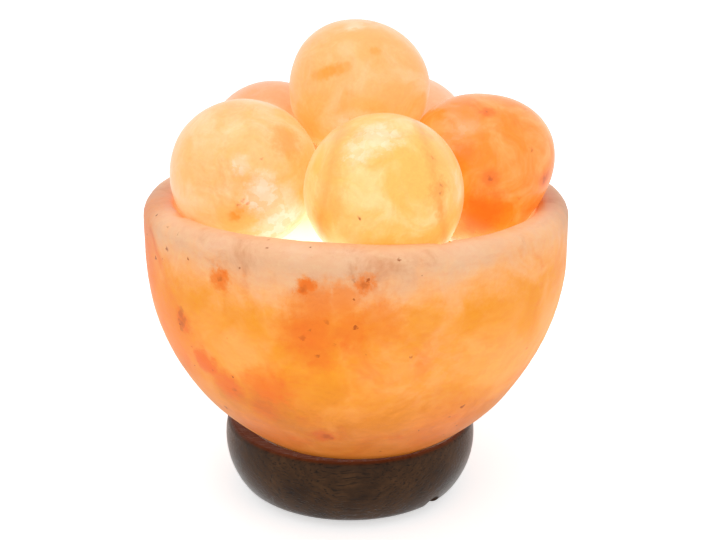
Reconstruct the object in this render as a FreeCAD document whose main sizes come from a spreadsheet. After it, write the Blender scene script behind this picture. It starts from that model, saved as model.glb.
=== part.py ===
import FreeCAD, Part
import math
import operator
import os

import Sketcher

# A carved salt bowl lamp. A thick bowl of rock salt, open at the top and bored through its floor, sits in
# the dish of a turned wooden base and is held to it by three screws from below. Six turned salt balls are
# heaped in its mouth. A small lamp holder with its bulb is pushed up through the base into the bowl's
# floor, where three leaf springs grip the hole, and pulls down and out again to change the bulb.
# Millimetres, +Z up. The origin is on the bowl's axis, in the plane that the rubber feet stand on.

SIZES = (
    ("foot_standoff", 2.0, "rubber foot showing under the base"),
    ("foot_radius", 4.5, "rubber foot"),
    ("foot_recess", 1.5, "depth of a foot's recess in the base"),
    ("foot_inset", 6.0, "middle of a foot from the edge of the flat underside"),
    ("foot_rounding", 0.8, "rounded lower edge of a foot"),
    ("foot_clearance", 0.1, "between a foot and the wall of its recess"),
    ("base_shift", -2.3, "the base's own axis from the bowl's, along X"),
    ("base_height", 26.5, "underside to the top face of the base"),
    ("base_bulge_radius", 46.8, "base at its widest"),
    ("base_bulge_height", 19.0, "height of the widest place over the underside"),
    ("base_side_radius", 27.8, "curve of the base's side, seen from the side"),
    ("base_lower_rounding", 7.0, "lower edge of the base"),
    ("base_upper_rounding", 2.0, "upper edge of the base"),
    ("seat_height", 20.0, "underside of the base to the floor of its dish"),
    ("dish_clearance", 0.5, "between the bowl and the side of the dish"),
    ("base_bore_radius", 22.0, "bore through the base for the holder"),
    ("channel_azimuth", -46.0, "where the cord channel leaves the base, in degrees"),
    ("channel_width", 7.0, "cord channel in the underside"),
    ("channel_depth", 5.5, "top of the cord channel over the underside"),
    ("bowl_radius", 76.0, "outside of the bowl's straight upper wall"),
    ("bowl_height", 91.8, "foot to rim"),
    ("bowl_foot_radius", 30.6, "flat foot of the bowl"),
    ("bowl_wall_start", 73.7, "height over the foot where the round side turns straight"),
    ("rim_thickness", 11.4, "wall of the bowl at its mouth"),
    ("rim_outer_rounding", 6.0, "outer edge of the rim"),
    ("rim_inner_rounding", 4.0, "inner edge of the rim"),
    ("cavity_wall_start", 78.0, "height over the foot where the hollow's side turns straight"),
    ("cavity_floor_radius", 28.6, "flat floor of the hollow"),
    ("bowl_floor_thickness", 18.0, "salt under the hollow"),
    ("bowl_hole_radius", 19.0, "hole through the bowl's floor"),
    ("screw_circle", 26.5, "circle of the base screws, about the bowl's axis"),
    ("screw_radius", 1.75, "shank of a base screw"),
    ("screw_length", 20.0, "under the head"),
    ("screw_point", 3.0, "tapered tip of a base screw"),
    ("screw_head_radius", 3.3, "head of a base screw"),
    ("screw_head_height", 2.4, "head of a base screw"),
    ("screw_sunk_depth", 8.0, "counterbore for a screw's head"),
    ("screw_clearance", 0.1, "between a screw and what it passes through"),
    ("ball_front_radius", 25.8, "salt ball nearest the front"),
    ("ball_right_radius", 25.6, "salt ball on the right"),
    ("ball_back_right_radius", 24.6, "salt ball behind, to the right"),
    ("ball_back_left_radius", 24.6, "salt ball behind, to the left"),
    ("ball_left_radius", 25.8, "salt ball on the left"),
    ("ball_top_radius", 24.8, "salt ball on top of the five"),
    ("ball_gap", 0.3, "between a ball and what it leans on"),
    ("ball_front_azimuth", -78.0, "direction of the front ball from the axis, in degrees"),
    ("plate_radius", 20.6, "holder's plate, inside the bore of the base"),
    ("plate_thickness", 1.2, "holder's plate"),
    ("plate_gap", 0.2, "between the plate and the bowl's foot"),
    ("clip_thickness", 0.6, "spring steel of the clip"),
    ("clip_ring_radius", 17.2, "outside of the clip's ring"),
    ("clip_leaf_height", 21.0, "length of a leaf's bowed part"),
    ("clip_tip_height", 2.5, "bent-in tip of a leaf"),
    ("clip_tip_inset", 1.2, "how far a tip bends in"),
    ("clip_leaf_width", 6.0, "leaf of the clip"),
    ("clip_wall_gap", 0.3, "between a leaf and the wall of the bowl's hole"),
    ("holder_radius", 14.0, "outside of the lamp holder"),
    ("holder_height", 30.0, "holder over its clip ring"),
    ("holder_neck_radius", 12.4, "neck that passes the plate"),
    ("holder_neck_length", 5.9, "neck below the clip ring"),
    ("holder_bore_radius", 10.8, "lower bore, which holds the contact block"),
    ("holder_throat_radius", 8.6, "upper bore, round the screw shell"),
    ("holder_fit", 0.1, "between the pieces of the holder"),
    ("cap_radius", 15.0, "outside of the holder's cap"),
    ("cap_height", 9.6, "cap below the plate"),
    ("cap_floor", 3.0, "floor of the cap"),
    ("cap_flute_radius", 1.6, "grip flute in the cap's side"),
    ("cap_flute_depth", 0.6, "grip flute in the cap's side"),
    ("cord_entry_radius", 3.2, "cord's hole in the floor of the cap"),
    ("block_height", 6.0, "ceramic contact block"),
    ("shell_height", 19.0, "brass screw shell"),
    ("shell_wall", 0.6, "brass screw shell"),
    ("shell_floor_hole", 4.5, "hole in the floor of the shell"),
    ("shell_rivet_place", 6.0, "rivet of the shell, from the axis"),
    ("rivet_radius", 0.9, "rivets through the contact block"),
    ("contact_rise", 1.6, "spring of the centre contact over the block"),
    ("contact_thickness", 0.4, "centre contact"),
    ("contact_width", 3.0, "centre contact"),
    ("contact_reach", 2.6, "length of the centre contact each side of its rivet"),
    ("terminal_height", 4.0, "terminal bars under the block"),
    ("terminal_width", 5.0, "terminal bars"),
    ("terminal_reach", 8.6, "outer end of a terminal bar, from the axis"),
    ("terminal_lap", 1.6, "how far the long bar runs past the axis"),
    ("terminal_gap", 1.9, "between the two bars"),
    ("terminal_screw_radius", 1.3, "terminal screw"),
    ("terminal_screw_length", 3.4, "terminal screw, under its head"),
    ("terminal_head_radius", 2.1, "head of a terminal screw"),
    ("terminal_head_height", 1.2, "head of a terminal screw"),
    ("lamp_cap_radius", 6.95, "screw cap of the bulb"),
    ("lamp_cap_height", 17.0, "screw cap of the bulb"),
    ("lamp_cap_wall", 0.4, "screw cap of the bulb"),
    ("lamp_cap_taper", 2.0, "lower end of the cap, drawn in to the insulator"),
    ("lamp_shell_gap", 0.3, "between the bulb's cap and the screw shell"),
    ("tip_radius", 2.0, "contact button of the bulb"),
    ("tip_height", 0.9, "contact button of the bulb"),
    ("tip_gap", 0.3, "between the button and the centre contact"),
    ("insulator_height", 2.0, "black glass between the cap and the button"),
    ("insulator_top_radius", 4.8, "black glass, where it meets the cap"),
    ("glass_radius", 13.0, "bulb at its widest"),
    ("glass_wall", 0.8, "bulb"),
    ("glass_neck_radius", 6.4, "neck of the bulb, inside its cap"),
    ("glass_neck_depth", 7.0, "how far the neck goes into the cap"),
    ("glass_shoulder_height", 10.0, "neck's end to the straight side of the glass"),
    ("glass_side_height", 14.5, "straight side of the glass"),
    ("stem_radius", 3.2, "glass stem at its foot"),
    ("stem_height", 17.0, "glass stem over its foot"),
    ("stem_top_radius", 1.4, "pressed top of the stem"),
    ("wire_radius", 0.3, "lead wires"),
    ("wire_spread", 5.0, "end of a lead wire from the axis"),
    ("wire_rise", 9.0, "lead wires over the stem"),
    ("wire_straight", 1.6, "upright part at each end of a lead wire"),
    ("filament_radius", 0.2, "filament wire"),
    ("filament_arch", 2.5, "rise of the filament between the leads"),
)

doc = FreeCAD.newDocument("SaltBowlLamp")
sheet = doc.addObject("Spreadsheet::Sheet", "Sizes")
for row, (alias, value, note) in enumerate(SIZES, start=1):
    sheet.set(f"A{row}", note)
    sheet.set(f"B{row}", str(value))
    sheet.setAlias(f"B{row}", alias)
doc.recompute()


# ---- sizes that keep their formula ----

OPERATIONS = {"+": operator.add, "-": operator.sub, "*": operator.mul, "/": operator.truediv}


class Size:
    """A size with its number, which draws a first outline, and its formula, which binds it to the sheet."""

    def __init__(self, number, formula):
        self.number = number
        self.formula = formula

    def joined(self, sign, other):
        return Size(OPERATIONS[sign](self.number, other.number), f"({self.formula}{sign}{other.formula})")

    def __add__(self, other):
        return self.joined("+", as_size(other))

    def __radd__(self, other):
        return as_size(other).joined("+", self)

    def __sub__(self, other):
        return self.joined("-", as_size(other))

    def __rsub__(self, other):
        return as_size(other).joined("-", self)

    def __mul__(self, other):
        return self.joined("*", as_size(other))

    def __rmul__(self, other):
        return as_size(other).joined("*", self)

    def __truediv__(self, other):
        return self.joined("/", as_size(other))

    def __neg__(self):
        return as_size(0) - self


def as_size(item):
    if isinstance(item, Size):
        return item
    return Size(float(item), f"({item})")


def size(alias):
    return Size(float(sheet.get(alias)), f"Sizes.{alias}")


def root(item):
    return Size(math.sqrt(item.number), f"sqrt{item.formula}")


def cosine(degrees):
    return Size(math.cos(math.radians(degrees.number)), f"cos({degrees.formula})")


def sine(degrees):
    return Size(math.sin(math.radians(degrees.number)), f"sin({degrees.formula})")


def squared(item):
    return item * item


def upright_arc_radius(run, rise):
    """Radius of an arc that ends upright after a run sideways and a rise."""
    return (squared(run) + squared(rise)) / (run * 2)


def bow_radius(length, bow):
    """Radius of an arc over a chord of this length that bows out by this much at its middle."""
    return (squared(length / 2) + squared(bow)) / (bow * 2)


# ---- sketches and features ----

def new_body(name):
    body = doc.addObject("PartDesign::Body", name)
    body.Label = name
    return body


def origin_item(body, role):
    return next(item for item in body.Origin.OriginFeatures if item.Role == role)


def bind(owner, path, item):
    owner.setExpression(path, as_size(item).formula)


def new_sketch(body, name, plane, along_x=None, lift=None, turn=None):
    """A sketch on one of the body's own planes, moved in that plane's frame."""
    sketch = body.newObject("Sketcher::SketchObject", name)
    sketch.AttachmentSupport = [(origin_item(body, plane), "")]
    sketch.MapMode = "FlatFace"
    if turn is not None:
        sketch.AttachmentOffset = FreeCAD.Placement(
            FreeCAD.Vector(), FreeCAD.Rotation(FreeCAD.Vector(0, 1, 0), turn.number))
        bind(sketch, "AttachmentOffset.Rotation.Angle", turn)
    if along_x is not None:
        bind(sketch, "AttachmentOffset.Base.x", along_x)
    if lift is not None:
        bind(sketch, "AttachmentOffset.Base.z", lift)
    return sketch


def arc_between(start, end, radius, side):
    """The short arc from start to end; side is 1 when it turns left on its way, -1 when it turns right."""
    chord = end - start
    middle = (start + end) * 0.5
    left = FreeCAD.Vector(-chord.y, chord.x, 0).normalize()
    centre = middle + left * side * math.sqrt(max(radius ** 2 - chord.Length ** 2 / 4, 0))
    first, last = (start, end) if side > 0 else (end, start)
    angles = [math.atan2(point.y - centre.y, point.x - centre.x) for point in (first, last)]
    circle = Part.Circle(centre, FreeCAD.Vector(0, 0, 1), radius)
    return Part.ArcOfCircle(circle, angles[0], angles[1])


def hold_point(sketch, edge, end, x, y):
    """Fix the end of an edge at (x, y), by the axes where a coordinate is nought."""
    origin_point = (-1, 1)
    for axis_line, kind, place in ((-2, "DistanceX", as_size(x)), (-1, "DistanceY", as_size(y))):
        if place.number == 0:
            sketch.addConstraint(Sketcher.Constraint("PointOnObject", edge, end, axis_line))
            continue
        rule = sketch.addConstraint(Sketcher.Constraint(kind, *origin_point, edge, end, place.number))
        bind(sketch, f"Constraints[{rule}]", place)


def draw(sketch, path):
    """A closed outline. Each step ends at (x, y); a third and a fourth entry make it an arc: radius, side."""
    corners = [FreeCAD.Vector(as_size(step[0]).number, as_size(step[1]).number, 0) for step in path]
    ends = []
    for index, step in enumerate(path):
        start, end = corners[index - 1], corners[index]
        if len(step) == 2:
            edge = sketch.addGeometry(Part.LineSegment(start, end), False)
            ends.append((edge, 1, 2))
            continue
        radius, side = as_size(step[2]), step[3]
        edge = sketch.addGeometry(arc_between(start, end, radius.number, side), False)
        rule = sketch.addConstraint(Sketcher.Constraint("Radius", edge, radius.number))
        bind(sketch, f"Constraints[{rule}]", radius)
        ends.append((edge, 1, 2) if side > 0 else (edge, 2, 1))
    for index, (edge, _, last) in enumerate(ends):
        following, first, _ = ends[(index + 1) % len(ends)]
        sketch.addConstraint(Sketcher.Constraint("Coincident", edge, last, following, first))
        hold_point(sketch, edge, last, path[index][0], path[index][1])


def draw_circle(sketch, x, y, radius):
    centre = FreeCAD.Vector(as_size(x).number, as_size(y).number, 0)
    edge = sketch.addGeometry(Part.Circle(centre, FreeCAD.Vector(0, 0, 1), as_size(radius).number), False)
    rule = sketch.addConstraint(Sketcher.Constraint("Radius", edge, as_size(radius).number))
    bind(sketch, f"Constraints[{rule}]", radius)
    hold_point(sketch, edge, 3, x, y)


def turned(body, name, path, kind="Revolution", along_x=None):
    """A full turn of an outline of (radius, height) about the upright axis."""
    sketch = new_sketch(body, f"{name}_outline", "XZ_Plane", along_x=along_x)
    draw(sketch, path)
    feature = body.newObject(f"PartDesign::{kind}", name)
    feature.Profile = sketch
    feature.ReferenceAxis = (sketch, ["V_Axis"])
    feature.Angle = 360
    return feature


def pushed(body, name, sketch, kind, length, reverse=False, middle=False):
    """A Pad or Pocket of a sketch, square to it."""
    feature = body.newObject(f"PartDesign::{kind}", name)
    feature.Profile = sketch
    bind(feature, "Length", length)
    feature.Reversed = reverse
    feature.Midplane = middle
    return feature


def ringed(body, name, feature, sketch, count, angle=360):
    """Copies of a feature about the normal through its sketch's origin."""
    pattern = body.newObject("PartDesign::PolarPattern", name)
    pattern.Originals = [feature]
    pattern.Axis = (sketch, ["N_Axis"])
    pattern.Angle = angle
    pattern.Occurrences = count
    body.Tip = pattern
    return pattern


def rectangle(low_x, low_y, high_x, high_y):
    return [(high_x, low_y), (high_x, high_y), (low_x, high_y), (low_x, low_y)]


def hole_ring(body, name, height, centre_x, circle, azimuth, radius, depth, count, angle):
    """Blind round holes cut upward from a level, on a circle about an upright axis."""
    sketch = new_sketch(body, f"{name}_circle", "XY_Plane", along_x=centre_x, lift=height)
    draw_circle(sketch, circle * cosine(azimuth), circle * sine(azimuth), radius)
    pocket = pushed(body, name, sketch, "Pocket", depth, reverse=True)
    return ringed(body, f"{name}_ring", pocket, sketch, count, angle)


# ---- levels shared by the pieces ----

underside = size("foot_standoff")
seat = underside + size("seat_height")
base_top = underside + size("base_height")
rim = seat + size("bowl_height")
cavity_floor = seat + size("bowl_floor_thickness")
plate_top = seat - size("plate_gap")
plate_bottom = plate_top - size("plate_thickness")
clip_ring_top = plate_top + size("clip_thickness")
holder_top = clip_ring_top + size("holder_height")
neck_bottom = clip_ring_top - size("holder_neck_length")
block_bottom = plate_top
block_top = block_bottom + size("block_height")
shell_radius = size("lamp_cap_radius") + size("lamp_shell_gap")
contact_top = block_top + size("contact_rise")
tip_bottom = contact_top + size("tip_gap")
insulator_bottom = tip_bottom + size("tip_height")
cap_bottom = insulator_bottom + size("insulator_height")
cap_top = cap_bottom + size("lamp_cap_height")
screw_azimuth = size("channel_azimuth") + 90
foot_azimuth = size("channel_azimuth") + 45
screw_seat = underside + size("screw_sunk_depth")
above_all = 1.0   # how far a cut runs on into the open


# ---- the salt bowl ----

def make_bowl():
    body = new_body("salt_bowl")
    wall_start = seat + size("bowl_wall_start")
    inside = size("bowl_radius") - size("rim_thickness")
    hollow_start = seat + size("cavity_wall_start")
    side_arc = upright_arc_radius(size("bowl_radius") - size("bowl_foot_radius"), size("bowl_wall_start"))
    hollow_arc = upright_arc_radius(inside - size("cavity_floor_radius"),
                                    size("cavity_wall_start") - size("bowl_floor_thickness"))
    outer, inner = size("rim_outer_rounding"), size("rim_inner_rounding")
    turned(body, "bowl_turned", [
        (size("bowl_foot_radius"), seat),
        (size("bowl_radius"), wall_start, side_arc, 1),
        (size("bowl_radius"), rim - outer),
        (size("bowl_radius") - outer, rim, outer, 1),
        (inside + inner, rim),
        (inside, rim - inner, inner, 1),
        (inside, hollow_start),
        (size("cavity_floor_radius"), cavity_floor, hollow_arc, -1),
        (size("bowl_hole_radius"), cavity_floor),
        (size("bowl_hole_radius"), seat),
    ])
    depth = screw_seat + size("screw_length") - seat + size("screw_clearance")
    hole_ring(body, "pilot_hole", seat, as_size(0), size("screw_circle"), screw_azimuth,
              size("screw_radius") + size("screw_clearance"), depth, 3, 180)


# ---- the wooden base ----

def rounding_meets_side(rounding, level, direction):
    """Where a rounded edge leaves the flat face at a level, and where it runs into the round side."""
    swing, bulge = size("base_side_radius"), size("base_bulge_height")
    centre_height = level + rounding * direction
    reach = swing - rounding
    across = root(squared(reach) - squared(centre_height - bulge))
    middle = size("base_bulge_radius") - swing
    touch = (middle + across * swing / reach, underside + bulge + (centre_height - bulge) * swing / reach)
    return middle + across, touch


def foot_circle():
    """Circle of the four feet, about the base's own axis."""
    flat_edge, _ = rounding_meets_side(size("base_lower_rounding"), as_size(0), 1)
    return flat_edge - size("foot_inset")


def dish_radius_at(height):
    """Radius of the dish at a height over its floor: the bowl's round side, moved out by the clearance."""
    swing = upright_arc_radius(size("bowl_radius") - size("bowl_foot_radius"), size("bowl_wall_start"))
    centre = size("bowl_radius") - swing
    return centre + root(squared(swing + size("dish_clearance")) - squared(size("bowl_wall_start") - height))


def make_base():
    body = new_body("wood_base")
    lower, upper = size("base_lower_rounding"), size("base_upper_rounding")
    foot_edge, low_touch = rounding_meets_side(lower, as_size(0), 1)
    top_edge, high_touch = rounding_meets_side(upper, size("base_height"), -1)
    turned(body, "base_turned", [
        (foot_edge, underside),
        (*low_touch, lower, 1),
        (*high_touch, size("base_side_radius"), 1),
        (top_edge, base_top, upper, 1),
        (0, base_top),
        (0, underside),
    ], along_x=size("base_shift"))
    dish_height = size("base_height") - size("seat_height") + above_all
    swing = upright_arc_radius(size("bowl_radius") - size("bowl_foot_radius"), size("bowl_wall_start"))
    turned(body, "dish_and_bore", [
        (size("base_bore_radius"), underside - above_all),
        (size("base_bore_radius"), seat),
        (dish_radius_at(as_size(0)), seat),
        (dish_radius_at(dish_height), base_top + above_all, swing + size("dish_clearance"), 1),
        (0, base_top + above_all),
        (0, underside - above_all),
    ], kind="Groove")
    half = size("channel_width") / 2
    spring_line = underside + size("channel_depth") - half
    channel = new_sketch(body, "channel_section", "YZ_Plane", turn=size("channel_azimuth"))
    draw(channel, [(half, underside - above_all), (half, spring_line), (0, spring_line + half, half, 1),
                   (-half, spring_line, half, 1), (-half, underside - above_all)])
    pushed(body, "cord_channel", channel, "Pocket", size("base_bulge_radius") + above_all * 5, reverse=True)
    hole_ring(body, "foot_recess", underside, size("base_shift"), foot_circle(), foot_azimuth,
              size("foot_radius") + size("foot_clearance"), size("foot_recess"), 4, 360)
    hole_ring(body, "screw_sinking", underside, as_size(0), size("screw_circle"), screw_azimuth,
              size("screw_head_radius") + size("screw_clearance") * 3, size("screw_sunk_depth"), 3, 180)
    hole_ring(body, "screw_hole", underside, as_size(0), size("screw_circle"), screw_azimuth,
              size("screw_radius") + size("screw_clearance"), size("seat_height") + above_all, 3, 180)


# ---- fasteners and feet ----

def upright_piece(name, path, x=None, y=None):
    """A turned piece whose own axis stands at (x, y)."""
    body = new_body(name)
    turned(body, f"{name}_turned", path)
    if x is not None:
        bind(body, "Placement.Base.x", x)
        bind(body, "Placement.Base.y", y)
    return body


def group(name, pieces):
    """Separate solids that make one named sub-part."""
    joined = doc.addObject("Part::Compound", name)
    joined.Label = name
    joined.Links = pieces
    return joined


def make_screws():
    head, shank = size("screw_head_radius"), size("screw_radius")
    head_foot = screw_seat - size("screw_head_height")
    tip = screw_seat + size("screw_length")
    screws = []
    for index in range(3):
        azimuth = screw_azimuth + 90 * index
        screws.append(upright_piece(f"base_screw_{index + 1}", [
            (head, head_foot),
            (head, screw_seat),
            (shank, screw_seat),
            (shank, tip - size("screw_point")),
            (0, tip),
            (0, head_foot),
        ], size("screw_circle") * cosine(azimuth), size("screw_circle") * sine(azimuth)))
    group("base_screws", screws)


def make_feet():
    radius, rounding = size("foot_radius"), size("foot_rounding")
    for index in range(4):
        azimuth = foot_azimuth + 90 * index
        upright_piece(f"rubber_foot_{index + 1}", [
            (radius - rounding, 0),
            (radius, rounding, rounding, 1),
            (radius, underside + size("foot_recess")),
            (0, underside + size("foot_recess")),
            (0, 0),
        ], size("base_shift") + foot_circle() * cosine(azimuth), foot_circle() * sine(azimuth))


# ---- the salt balls ----

RING = ("front", "right", "back_right", "back_left", "left")


def ring_turns(radii, ring, heights, gap):
    """Angles about the axis between neighbours on a ring when each just clears the next."""
    turns = []
    for index, radius in enumerate(radii):
        following = (index + 1) % len(radii)
        apart = radius + radii[following] + gap
        rise = heights[index] - heights[following]
        turns.append(math.acos(1 - (apart ** 2 - rise ** 2) / (2 * ring ** 2)))
    return turns


def settle_ring(radii):
    """Centres of five balls that lean on the rim's inner rounding and on each other."""
    gap = size("ball_gap").number
    rounding = size("rim_inner_rounding").number
    lip_radius = (size("bowl_radius") - size("rim_thickness") + size("rim_inner_rounding")).number
    lip_height = rim.number - rounding

    def heights_at(ring):
        return [lip_height + math.sqrt((radius + rounding + gap) ** 2 - (lip_radius - ring) ** 2)
                for radius in radii]

    smallest, largest = lip_radius - min(radii) - rounding - gap, lip_radius
    for _ in range(60):
        ring = (smallest + largest) / 2
        if sum(ring_turns(radii, ring, heights_at(ring), gap)) > 2 * math.pi:
            smallest = ring
        else:
            largest = ring
    azimuth = math.radians(size("ball_front_azimuth").number)
    centres = []
    for height, turn in zip(heights_at(ring), ring_turns(radii, ring, heights_at(ring), gap)):
        centres.append(FreeCAD.Vector(ring * math.cos(azimuth), ring * math.sin(azimuth), height))
        azimuth += turn
    return centres


def touch_three(centres, reaches):
    """The upper point at three given distances from three centres."""
    ahead = centres[1] - centres[0]
    along = FreeCAD.Vector(ahead).normalize()
    third = centres[2] - centres[0]
    side = third - along * third.dot(along)
    across = FreeCAD.Vector(side).normalize()
    up = along.cross(across)
    x = (reaches[0] ** 2 - reaches[1] ** 2 + ahead.Length ** 2) / (2 * ahead.Length)
    y = (reaches[0] ** 2 - reaches[2] ** 2 + third.dot(third) - 2 * x * third.dot(along)) / (2 * side.Length)
    rise = math.sqrt(reaches[0] ** 2 - x ** 2 - y ** 2)
    return centres[0] + along * x + across * y + up * math.copysign(rise, up.z)


def settle_top(centres, radii, top_radius):
    """Centre of the ball that rests on three of the five and clears the other two."""
    reaches = [radius + top_radius + size("ball_gap").number for radius in radii]
    trios = [(a, b, c) for a in range(5) for b in range(a + 1, 5) for c in range(b + 1, 5)]
    resting = []
    for trio in trios:
        place = touch_three([centres[index] for index in trio], [reaches[index] for index in trio])
        slack = min((place - centre).Length - reach for centre, reach in zip(centres, reaches))
        if slack > -1e-6:
            resting.append(place)
    return min(resting, key=lambda place: place.z)


def make_balls():
    radii = [size(f"ball_{name}_radius").number for name in RING]
    centres = settle_ring(radii)
    top = settle_top(centres, radii, size("ball_top_radius").number)
    for name, centre in zip(RING + ("top",), centres + [top]):
        ball = doc.addObject("Part::Sphere", f"ball_{name}")
        ball.Label = f"ball_{name}"
        bind(ball, "Radius", size(f"ball_{name}_radius"))
        ball.Placement = FreeCAD.Placement(centre, FreeCAD.Rotation())
        print(f"ball_{name} rests at", [round(value, 2) for value in centre])


# ---- the lamp holder ----

def make_plate():
    upright_piece("holder_plate", rectangle(
        size("holder_neck_radius") + size("holder_fit"), plate_bottom, size("plate_radius"), plate_top))


def make_clip():
    """A flat ring with three upright leaves that bow out to the wall of the bowl's hole."""
    body = new_body("spring_clip")
    thick, edge = size("clip_thickness"), size("clip_ring_radius")
    turned(body, "clip_ring", rectangle(
        size("holder_neck_radius") + size("holder_fit"), plate_top, edge, clip_ring_top))
    bow = size("bowl_hole_radius") - size("clip_wall_gap") - edge
    swing = bow_radius(size("clip_leaf_height"), bow)
    shoulder = plate_top + size("clip_leaf_height")
    tip, inset = shoulder + size("clip_tip_height"), size("clip_tip_inset")
    sketch = new_sketch(body, "leaf_side", "XZ_Plane")
    draw(sketch, [
        (edge, plate_top),
        (edge, shoulder, swing, 1),
        (edge - inset, tip),
        (edge - inset - thick, tip),
        (edge - thick, shoulder),
        (edge - thick, plate_top, swing, -1),
    ])
    leaf = pushed(body, "leaf", sketch, "Pad", size("clip_leaf_width"), middle=True)
    pattern = body.newObject("PartDesign::PolarPattern", "leaves")
    pattern.Originals = [leaf]
    pattern.Axis = (origin_item(body, "Z_Axis"), [""])
    pattern.Angle = 360
    pattern.Occurrences = 3
    body.Tip = pattern


def make_holder_body():
    upright_piece("holder_body", [
        (size("holder_neck_radius"), neck_bottom),
        (size("holder_neck_radius"), clip_ring_top),
        (size("holder_radius"), clip_ring_top),
        (size("holder_radius"), holder_top),
        (size("holder_throat_radius"), holder_top),
        (size("holder_throat_radius"), block_top),
        (size("holder_bore_radius"), block_top),
        (size("holder_bore_radius"), neck_bottom),
    ])


def make_holder_cap():
    """A cup under the plate with the cord's hole in its floor and grip flutes round its side."""
    body = new_body("holder_cap")
    outside, inside = size("cap_radius"), size("holder_neck_radius") + size("holder_fit")
    floor = plate_bottom - size("cap_height")
    turned(body, "cap_cup", [
        (outside - above_all, floor),
        (outside, floor + above_all),
        (outside, plate_bottom),
        (inside, plate_bottom),
        (inside, floor + size("cap_floor")),
        (size("cord_entry_radius"), floor + size("cap_floor")),
        (size("cord_entry_radius"), floor),
    ])
    sketch = new_sketch(body, "flute_circle", "XY_Plane", lift=floor - above_all)
    draw_circle(sketch, outside + size("cap_flute_radius") - size("cap_flute_depth"), 0,
                size("cap_flute_radius"))
    flute = pushed(body, "flute", sketch, "Pocket", size("cap_height") + above_all * 2, reverse=True)
    ringed(body, "flutes", flute, sketch, 12)


def make_contact_block():
    body = new_body("contact_block")
    turned(body, "block_disc", [
        (size("holder_bore_radius") - size("holder_fit"), block_bottom),
        (size("holder_bore_radius") - size("holder_fit"), block_top),
        (0, block_top),
        (0, block_bottom),
    ])
    sketch = new_sketch(body, "rivet_circles", "XY_Plane", lift=block_bottom)
    hole = size("rivet_radius") + size("holder_fit") / 2
    draw_circle(sketch, 0, 0, hole)
    draw_circle(sketch, size("shell_rivet_place"), 0, hole)
    pushed(body, "rivet_holes", sketch, "Pocket", size("block_height"), reverse=True)


def make_screw_shell():
    """The brass thread that the bulb screws into, with its rivet through the block."""
    body = new_body("screw_shell")
    outside = shell_radius + size("shell_wall")
    turned(body, "shell_turned", [
        (outside, block_top),
        (outside, block_top + size("shell_height")),
        (shell_radius, block_top + size("shell_height")),
        (shell_radius, block_top + size("shell_wall")),
        (size("shell_floor_hole"), block_top + size("shell_wall")),
        (size("shell_floor_hole"), block_top),
    ])
    sketch = new_sketch(body, "shell_rivet_circle", "XY_Plane", lift=block_bottom)
    draw_circle(sketch, size("shell_rivet_place"), 0, size("rivet_radius"))
    pushed(body, "shell_rivet", sketch, "Pad", size("block_height"))


def make_centre_contact():
    """A bowed leaf over the block, riveted through it to the long terminal bar."""
    body = new_body("centre_contact")
    sketch = new_sketch(body, "contact_rivet_circle", "XY_Plane", lift=block_bottom)
    draw_circle(sketch, 0, 0, size("rivet_radius"))
    rise = size("contact_rise") - size("contact_thickness")
    pushed(body, "contact_rivet", sketch, "Pad", size("block_height") + rise)
    reach = size("contact_reach")
    swing = bow_radius(reach * 2, rise)
    side = new_sketch(body, "contact_side", "XZ_Plane")
    draw(side, [
        (reach, block_top + size("contact_thickness")),
        (-reach, block_top + size("contact_thickness"), swing, 1),
        (-reach, block_top),
        (reach, block_top, swing, -1),
    ])
    pushed(body, "contact_leaf", side, "Pad", size("contact_width"), middle=True)


def terminal_ends():
    """Low and high X of the two terminal bars: the long one takes the centre contact, the short the shell."""
    lap, reach = size("terminal_lap"), size("terminal_reach")
    return ((-reach, lap), (lap + size("terminal_gap"), reach))


def make_terminals():
    low = block_bottom - size("terminal_height")
    bars, screws = [], []
    hole = size("terminal_screw_radius") + size("holder_fit") / 2
    for index, (start, end) in enumerate(terminal_ends()):
        bar = new_body(f"terminal_{index + 1}")
        half = size("terminal_width") / 2
        outline = new_sketch(bar, f"terminal_{index + 1}_outline", "XY_Plane", lift=low)
        draw(outline, rectangle(start, -half, end, half))
        pushed(bar, f"terminal_{index + 1}_bar", outline, "Pad", size("terminal_height"))
        screw_x = size("shell_rivet_place") * (-1 if index == 0 else 1)
        circle = new_sketch(bar, f"terminal_{index + 1}_hole_circle", "XY_Plane", lift=low)
        draw_circle(circle, screw_x, 0, hole)
        pushed(bar, f"terminal_{index + 1}_hole", circle, "Pocket", size("terminal_screw_length"), reverse=True)
        bars.append(bar)
        head_foot = low - size("terminal_head_height")
        screws.append(upright_piece(f"terminal_screw_{index + 1}", [
            (size("terminal_head_radius"), head_foot),
            (size("terminal_head_radius"), low),
            (size("terminal_screw_radius"), low),
            (size("terminal_screw_radius"), low + size("terminal_screw_length")),
            (0, low + size("terminal_screw_length")),
            (0, head_foot),
        ], screw_x, as_size(0)))
    group("terminals", bars)
    group("terminal_screws", screws)


# ---- the bulb ----

def make_bulb_cap():
    radius, wall = size("lamp_cap_radius"), size("lamp_cap_wall")
    taper = size("lamp_cap_taper")
    upright_piece("bulb_cap", [
        (size("insulator_top_radius"), cap_bottom),
        (radius, cap_bottom + taper),
        (radius, cap_top),
        (radius - wall, cap_top),
        (radius - wall, cap_bottom + taper),
        (size("insulator_top_radius") - wall, cap_bottom + wall),
        (size("insulator_top_radius") - wall, cap_bottom),
    ])


def make_insulator():
    upright_piece("cap_insulator", [
        (size("tip_radius"), insulator_bottom),
        (size("insulator_top_radius"), cap_bottom),
        (0, cap_bottom),
        (0, insulator_bottom),
    ])


def make_tip():
    radius, height = size("tip_radius"), size("tip_height")
    upright_piece("tip_contact", [
        (0, tip_bottom),
        (radius, insulator_bottom, upright_arc_radius(height, radius), 1),
        (0, insulator_bottom),
    ])


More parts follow.
